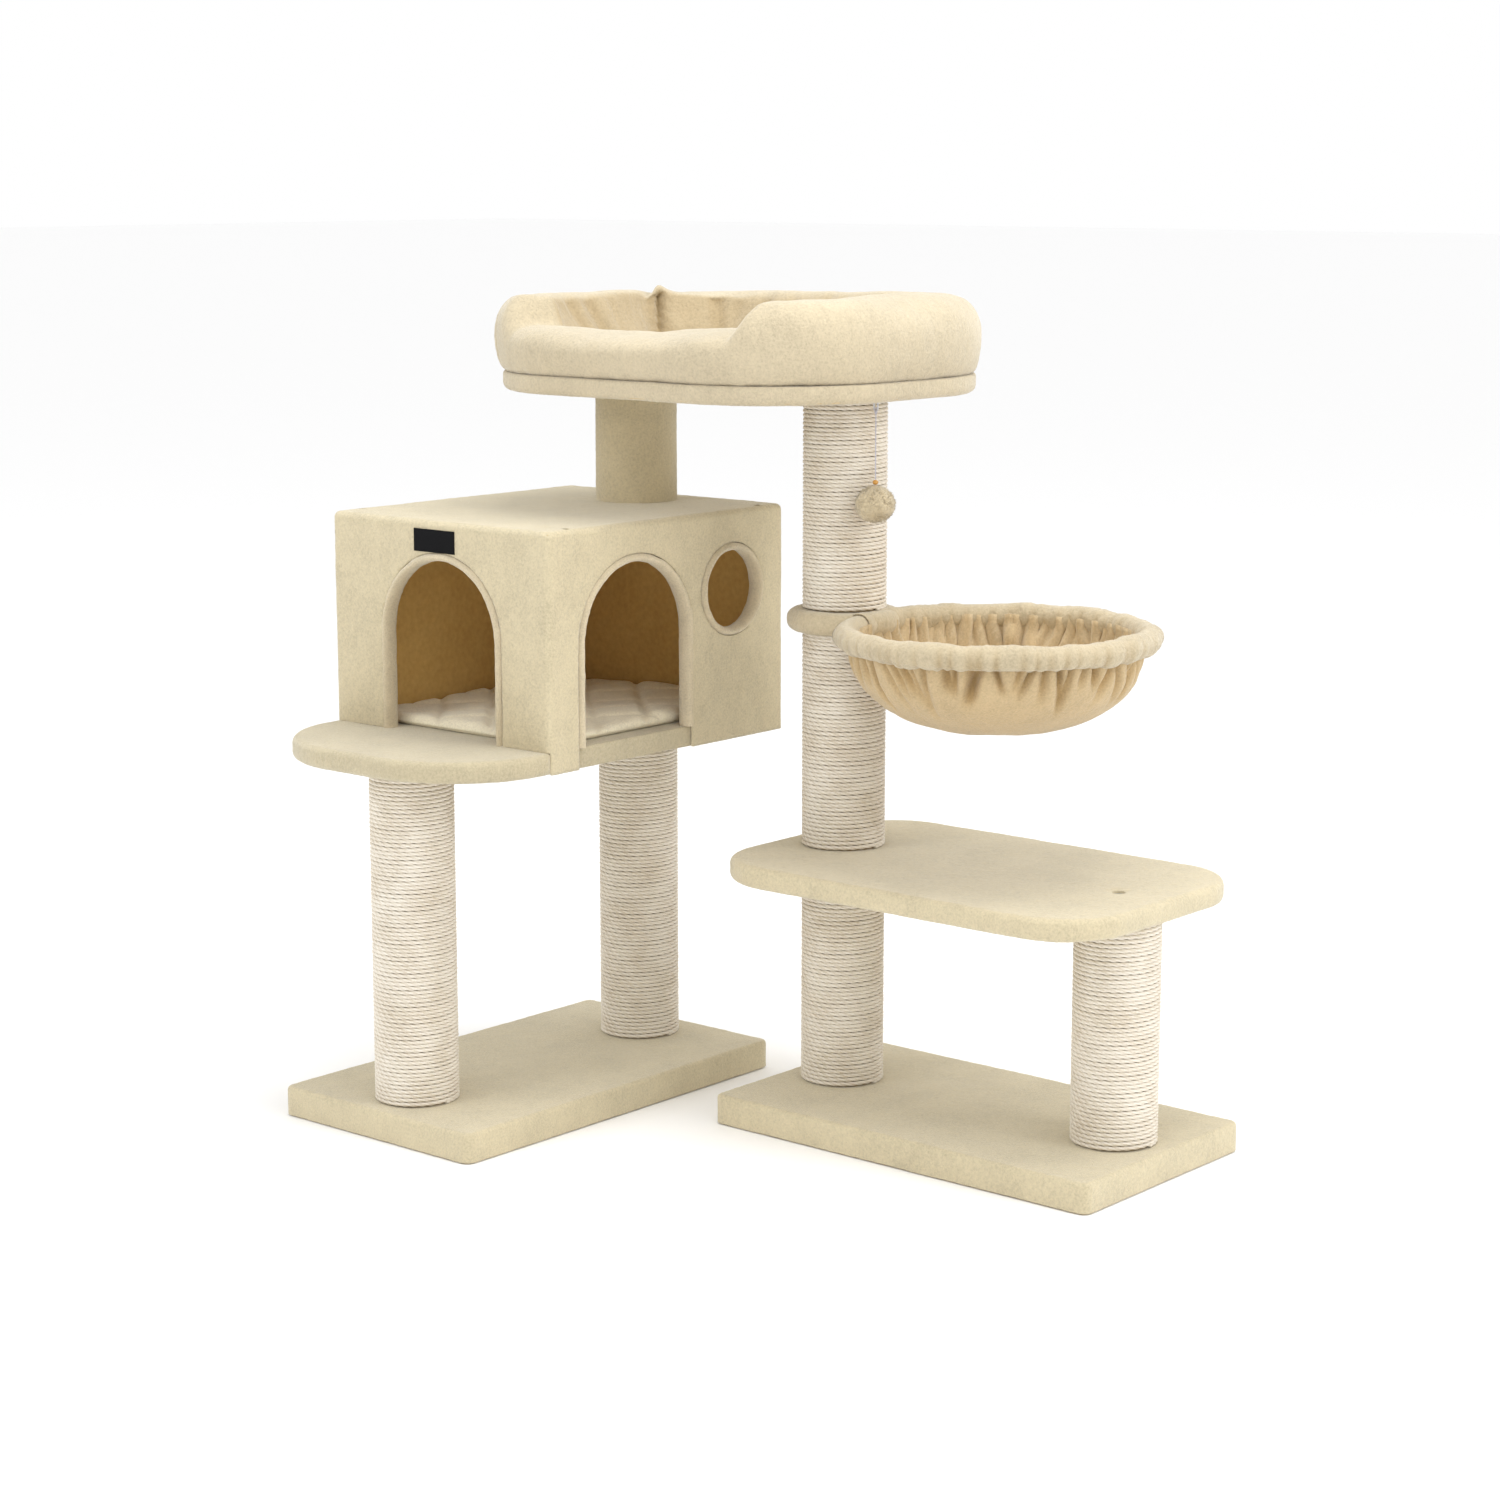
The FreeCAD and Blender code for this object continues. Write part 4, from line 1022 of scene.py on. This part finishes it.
def perch_bolster():
    """A stuffed roll: high behind and at the sides, low along the front, with two corner seams."""
    low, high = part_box("perch_bolster")
    middle = Vector(((low.x + high.x) / 2, (low.y + high.y) / 2, 0))
    tall = high.z - low.z
    ring = bolster_ring(low, high)
    co = points_of(ring)
    normal = normals_of(ring)
    away = np.stack([co[:, 0] - middle.x, co[:, 1] - middle.y], 1)
    away /= np.maximum(np.linalg.norm(away, axis=1), 1e-6)[:, None]
    facing = (normal[:, :2] * away).sum(1)
    # Height, and the lean inwards
    co[:, 2] = low.z + (co[:, 2] - low.z) * (tall + 2 * MM) / (co[:, 2].max() - low.z)
    behind = blend_step((middle.x - co[:, 0] + co[:, 1] - middle.y) * 0.7, -100 * MM, 150 * MM)
    co[:, 2] = low.z + (co[:, 2] - low.z) * (1 - 0.10 * behind)
    up = np.clip((co[:, 2] - low.z) / tall, 0, 1)
    inside, way = from_edge(co, low, high, PERCH_CORNER)
    slim = np.maximum(behind, blend_step(middle.x - co[:, 0], 70 * MM, 170 * MM))
    lean = np.clip(inside, 0, 80 * MM) * 0.36 * blend_step(up, 0.15, 0.85) * slim
    co[:, :2] += way * lean[:, None]
    # The belly outside and the folds inside, with painted shade on the inner side and in its folds
    leftward = blend_step(-away[:, 0], 0.5, 0.95)
    bulge = np.clip(facing, 0, 1) * np.sin(math.pi * up ** 0.8) * (7 + 5 * leftward) * MM
    round_way = polar(co, middle)[0]
    fold = np.sin(round_way * 17 + 2.5 * np.sin(round_way * 3)) + 0.7 * np.sin(round_way * 38 + 1.0)
    bulge += np.clip(-facing, 0, 1) * np.clip(fold, -1.7, 0.3) * 3.6 * MM
    dark = blend_step(-facing, 0.1, 0.8) * (0.5 + 0.16 * np.clip(-fold, 0, 1))
    co += normal * bulge[:, None]
    # The two corners where the roll's ends are sewn together
    for start, heading, pull, deep in BOLSTER_SEAMS:
        if deep:
            gather_lift, peak_lift = (3, 8) if heading < 180 else (1, 3)
            reach = np.hypot(co[:, 0] - start[0], co[:, 1] - start[1])
            gather = bell(reach - 30 * MM, 30 * MM) * blend_step(up, 0.5, 1.0)
            co[:, 2] += gather * gather_lift * MM
            across, ahead = beside_seam(co, start, heading, 35 * MM)
            pucker = np.sin(co[:, 2] * 620 + across * 260) * bell(across, 11 * MM) * ahead
            crease = bell(across, 3.5 * MM) * ahead * np.clip(-facing * 1.5, 0, 1)
            co += normal * (pucker * 1.1 - crease * 9)[:, None] * MM
            peak = bell(across, 10 * MM) * ahead * blend_step(up, 0.55, 0.9)
            co[:, 2] += peak * peak_lift * MM
            # Painted shade along the sewn corner creases.
            dark = np.maximum(dark, crease)
    # The low front, above a foot that keeps its height
    dip = front_dip(co, low, middle)
    height = co[:, 2] - low.z
    kept = 20 * MM
    lowered = kept + (height - kept) * (BOLSTER_LIP - kept) / (tall - kept)
    co[:, 2] = low.z + np.where(height > kept, height + (lowered - height) * dip, height)
    co[:, 2] = np.maximum(co[:, 2] - 3 * MM * (1 - blend_step(up, 0, 0.5)), low.z - 2 * MM)
    set_points(ring, co)
    # Painted shade: the fold value darkens the inner side, its folds and the corner creases.
    keep_values(ring, "fold", np.clip(dark, 0, 1))
    relax(ring, 1)
    ripple(ring, 45 * MM, 3.0 * MM)
    ripple(ring, 8 * MM, 0.5 * MM)
    smooth(ring)
    settle(ring, "tree", SOFT, "soft_plush", "perch_bolster")


def perch_cushion():
    """The loose cushion inside the bolster, thickest in its middle."""
    low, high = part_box("perch_cushion")
    shy = Vector((6, 6, 0)) * MM
    top = high - shy - Vector((0, 0, 8 * MM))
    pad = slab("perch_cushion_pad", low + shy, top, CUSHION_CORNER, CUSHION_CORNER, 8 * MM, 5 * MM, None)
    remesh(pad, 6 * MM)
    puff(pad, 5.0, 16 * MM, points_of(pad)[:, 2] < low.z + 3 * MM)
    co = points_of(pad)
    middle = (low + high) / 2
    reach = np.hypot((co[:, 0] - middle.x) / (high.x - low.x), (co[:, 1] - middle.y) / (high.y - low.y)) * 2
    crown = blend_step(co[:, 2], low.z + 3 * MM, high.z - 5 * MM) * (1 - blend_step(reach, 0.1, 1.05))
    co[:, 2] = np.maximum(co[:, 2] + (crown * 12 - 5) * MM, low.z + 0.3 * MM)
    set_points(pad, co)
    refine(pad)
    ripple(pad, 45 * MM, 3.0 * MM)
    ripple(pad, 8 * MM, 0.5 * MM)
    smooth(pad)
    settle(pad, "cushion", SOFT, "soft_plush", "perch_cushion")


# ---------------- toy
def ball_tufts(centre, radius):
    """Short pointed tufts, spread evenly over the ball, each leaning its own way."""
    turn_between, third = 2.39996, 2.0944
    sides = ((0, 1, 3), (1, 2, 3), (2, 0, 3), (2, 1, 0))
    faces = []
    corners = []
    chance = np.random.default_rng(5)
    for step in range(TUFTS):
        z = 1 - 2 * (step + 0.5) / TUFTS
        around = step * turn_between
        out = Vector((math.cos(around) * math.sqrt(1 - z * z), math.sin(around) * math.sqrt(1 - z * z), z))
        side = out.orthogonal().normalized()
        lean = (side * chance.uniform(-0.5, 0.5) + out.cross(side) * chance.uniform(-0.5, 0.5)) * 3.0 * MM
        root = centre + out * radius * 0.84
        base = len(corners)
        for corner in range(3):
            foot = side * math.cos(corner * third) + out.cross(side) * math.sin(corner * third)
            corners.append(root + foot * 1.1 * MM)
        corners.append(centre + out * radius * chance.uniform(0.92, 1.0) + lean)
        faces += [tuple(base + corner for corner in face) for face in sides]
    mesh = bpy.data.meshes.new("toy_ball_tufts")
    mesh.from_pydata(corners, [], faces)
    return placed("toy_ball_tufts", mesh)


def string_line(x, y, top, bottom):
    """The straight string from the staple down into the bead."""
    curve = bpy.data.curves.new("toy_string_line", "CURVE")
    curve.dimensions = "3D"
    curve.bevel_depth = STRING_WIDTH / 2
    curve.bevel_resolution = 4
    curve.use_fill_caps = True
    spline = curve.splines.new("NURBS")
    heights = [top, top - 9 * MM, (top + bottom) / 2, bottom + 9 * MM, bottom]
    spline.points.add(len(heights) - 1)
    for point, z in zip(spline.points, heights):
        point.co = (x, y, z, 1)
    spline.order_u = 3
    spline.use_endpoint_u = True
    return placed("toy_string_line", curve)


def toy():
    """The plush ball, its bead, and the string with a loop at the staple and a knot."""
    low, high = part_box("toy_ball")
    centre = (low + high) / 2
    radius = (high.x - low.x) / 2
    bpy.ops.mesh.primitive_ico_sphere_add(subdivisions=5, radius=radius * 0.90, location=centre)
    ball = named("toy_plush_ball")
    ripple(ball, 10 * MM, 2.4 * MM)
    co = points_of(ball)
    turn = polar(co, centre)[0]
    top = blend_step(co[:, 2], centre.z, centre.z + radius)
    spread(co, centre, 1 - 0.09 * top * (0.5 + 0.5 * np.cos(turn * 11 + np.sin(turn * 3))))
    set_points(ball, co)
    fluff = ball_tufts(centre, radius)
    for piece in (ball, fluff):
        co = points_of(piece)
        co[:, 2] = centre.z + 1.6 * MM + (co[:, 2] - centre.z) * 0.92
        set_points(piece, co)
        smooth(piece)
    settle(ball, "toy", BALL, "ball_plush", "toy_ball")
    settle(fluff, "toy", BALL, "ball_plush")

    bead_low, bead_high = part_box("toy_bead")
    x, y = centre.x, centre.y
    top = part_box("toy_string")[1].z - 3.3 * MM
    bottom = bead_high.z - 2 * MM
    string = string_line(x, y, top, bottom)
    settle(string, "toy", THREAD, "string", "toy_string")

    joint = next(j for j in frame["joints"] if j["name"] == "toy_swing")
    bpy.ops.mesh.primitive_torus_add(
        major_segments=32, minor_segments=10, major_radius=1.8 * MM, minor_radius=STRING_WIDTH / 2,
        location=joint["pos_m"], rotation=(0, math.pi / 2, math.atan2(joint["axis"][1], joint["axis"][0])),
    )
    loop = named("toy_string_loop")
    smooth(loop)
    settle(loop, "toy", THREAD, "string")
    bpy.ops.mesh.primitive_uv_sphere_add(
        segments=20, ring_count=12, radius=1.6 * MM, location=(x, y, top - 2 * MM)
    )
    knot = named("toy_string_knot")
    ripple(knot, 1.2 * MM, 0.8 * MM)
    smooth(knot)
    settle(knot, "toy", THREAD, "string")

    bpy.ops.mesh.primitive_uv_sphere_add(
        segments=28, ring_count=16, radius=(bead_high.x - bead_low.x) / 2,
        location=(bead_low + bead_high) / 2 - Vector((0, 0, 0.5 * MM)), scale=(1, 1, 0.85),
    )
    bead = named("toy_round_bead")
    smooth(bead)
    settle(bead, "toy", BEAD, "bead", "toy_bead")


# ---------------- the CAD pieces that stay in sight or inside
def finish_frame():
    finishes = {
        "_board": FIBREBOARD, "_wall": FIBREBOARD, "_tube": CARDBOARD, "_plugs": PLUG, "_bolts": STEEL,
        "_washers": STEEL, "_studs": STEEL, "_inserts": STEEL, "_screws": STEEL, "_staple": STEEL,
        "basket_frame": PLYWOOD,
    }
    for name, node in frame["nodes"].items():
        for ending, material in finishes.items():
            if name.endswith(ending):
                node.data.materials.clear()
                node.data.materials.append(material)


# ---------------- studio
def studio():
    """A pale floor, a white room, and three square lamps aimed at the middle of the tree."""
    bpy.ops.mesh.primitive_plane_add(size=80, location=(0, 0, -0.0005))
    floor = named("studio_floor")
    pale = new_material("pale_floor", {"Base Color": (0.97, 0.97, 0.97, 1), "Roughness": 0.9})[0]
    floor.data.materials.append(pale)

    world = bpy.data.worlds.new("pale_room")
    bpy.context.scene.world = world
    world.use_nodes = True
    world.node_tree.nodes["Background"].inputs["Color"].default_value = (1, 1, 1, 1)
    world.node_tree.nodes["Background"].inputs["Strength"].default_value = 1.0

    target = Vector((0, 0, 0.45))
    for name, place, size, power in (
        ("key", (-1.2, -3.4, 2.4), 1.8, 24),
        ("top", (0.45, 0.15, 3.15), 1.6, 46),
        ("side", (3.0, 0.7, 2.0), 1.6, 30),
    ):
        light = bpy.data.lights.new(name + "_light", "AREA")
        light.shape = "SQUARE"
        light.size = size
        light.energy = power
        lamp = placed(name + "_light", light)
        lamp.location = place
        lamp.rotation_euler = (target - Vector(place)).to_track_quat("-Z", "Y").to_euler()
    bpy.context.scene.view_settings.view_transform = "Standard"


def camera():
    """Looks from the front right, slightly down."""
    turn = math.radians(40.33)
    tilt = math.radians(-10.41)
    lens = bpy.data.cameras.new("camera")
    lens.sensor_width = 36
    lens.lens = 76.73
    eye = placed("camera", lens)
    eye.location = (2.1219, -2.5093, 1.0103)
    ahead = Vector((-math.sin(turn) * math.cos(tilt), math.cos(turn) * math.cos(tilt), math.sin(tilt)))
    eye.rotation_mode = "QUATERNION"
    eye.rotation_quaternion = ahead.to_track_quat("-Z", "Y")
    bpy.context.scene.camera = eye


bpy.ops.object.select_all(action="DESELECT")
camera()
studio()
finish_frame()
for node in sorted(frame["nodes"]):
    if node.endswith("_rope"):
        wound_rope(node)
plush_post()
bases()
shelf()
perch_plate()
cave_floor()
cave_cover()
rolled_rim("front_door_roll", "front_door_trim", "y", True)
rolled_rim("side_door_roll", "side_door_trim", "x", True)
rolled_rim("window_roll", "window_trim", "x", False)
cave_label()
cave_mat()
basket_collar()
basket_rim()
pouch()
perch_bolster()
perch_cushion()
toy()
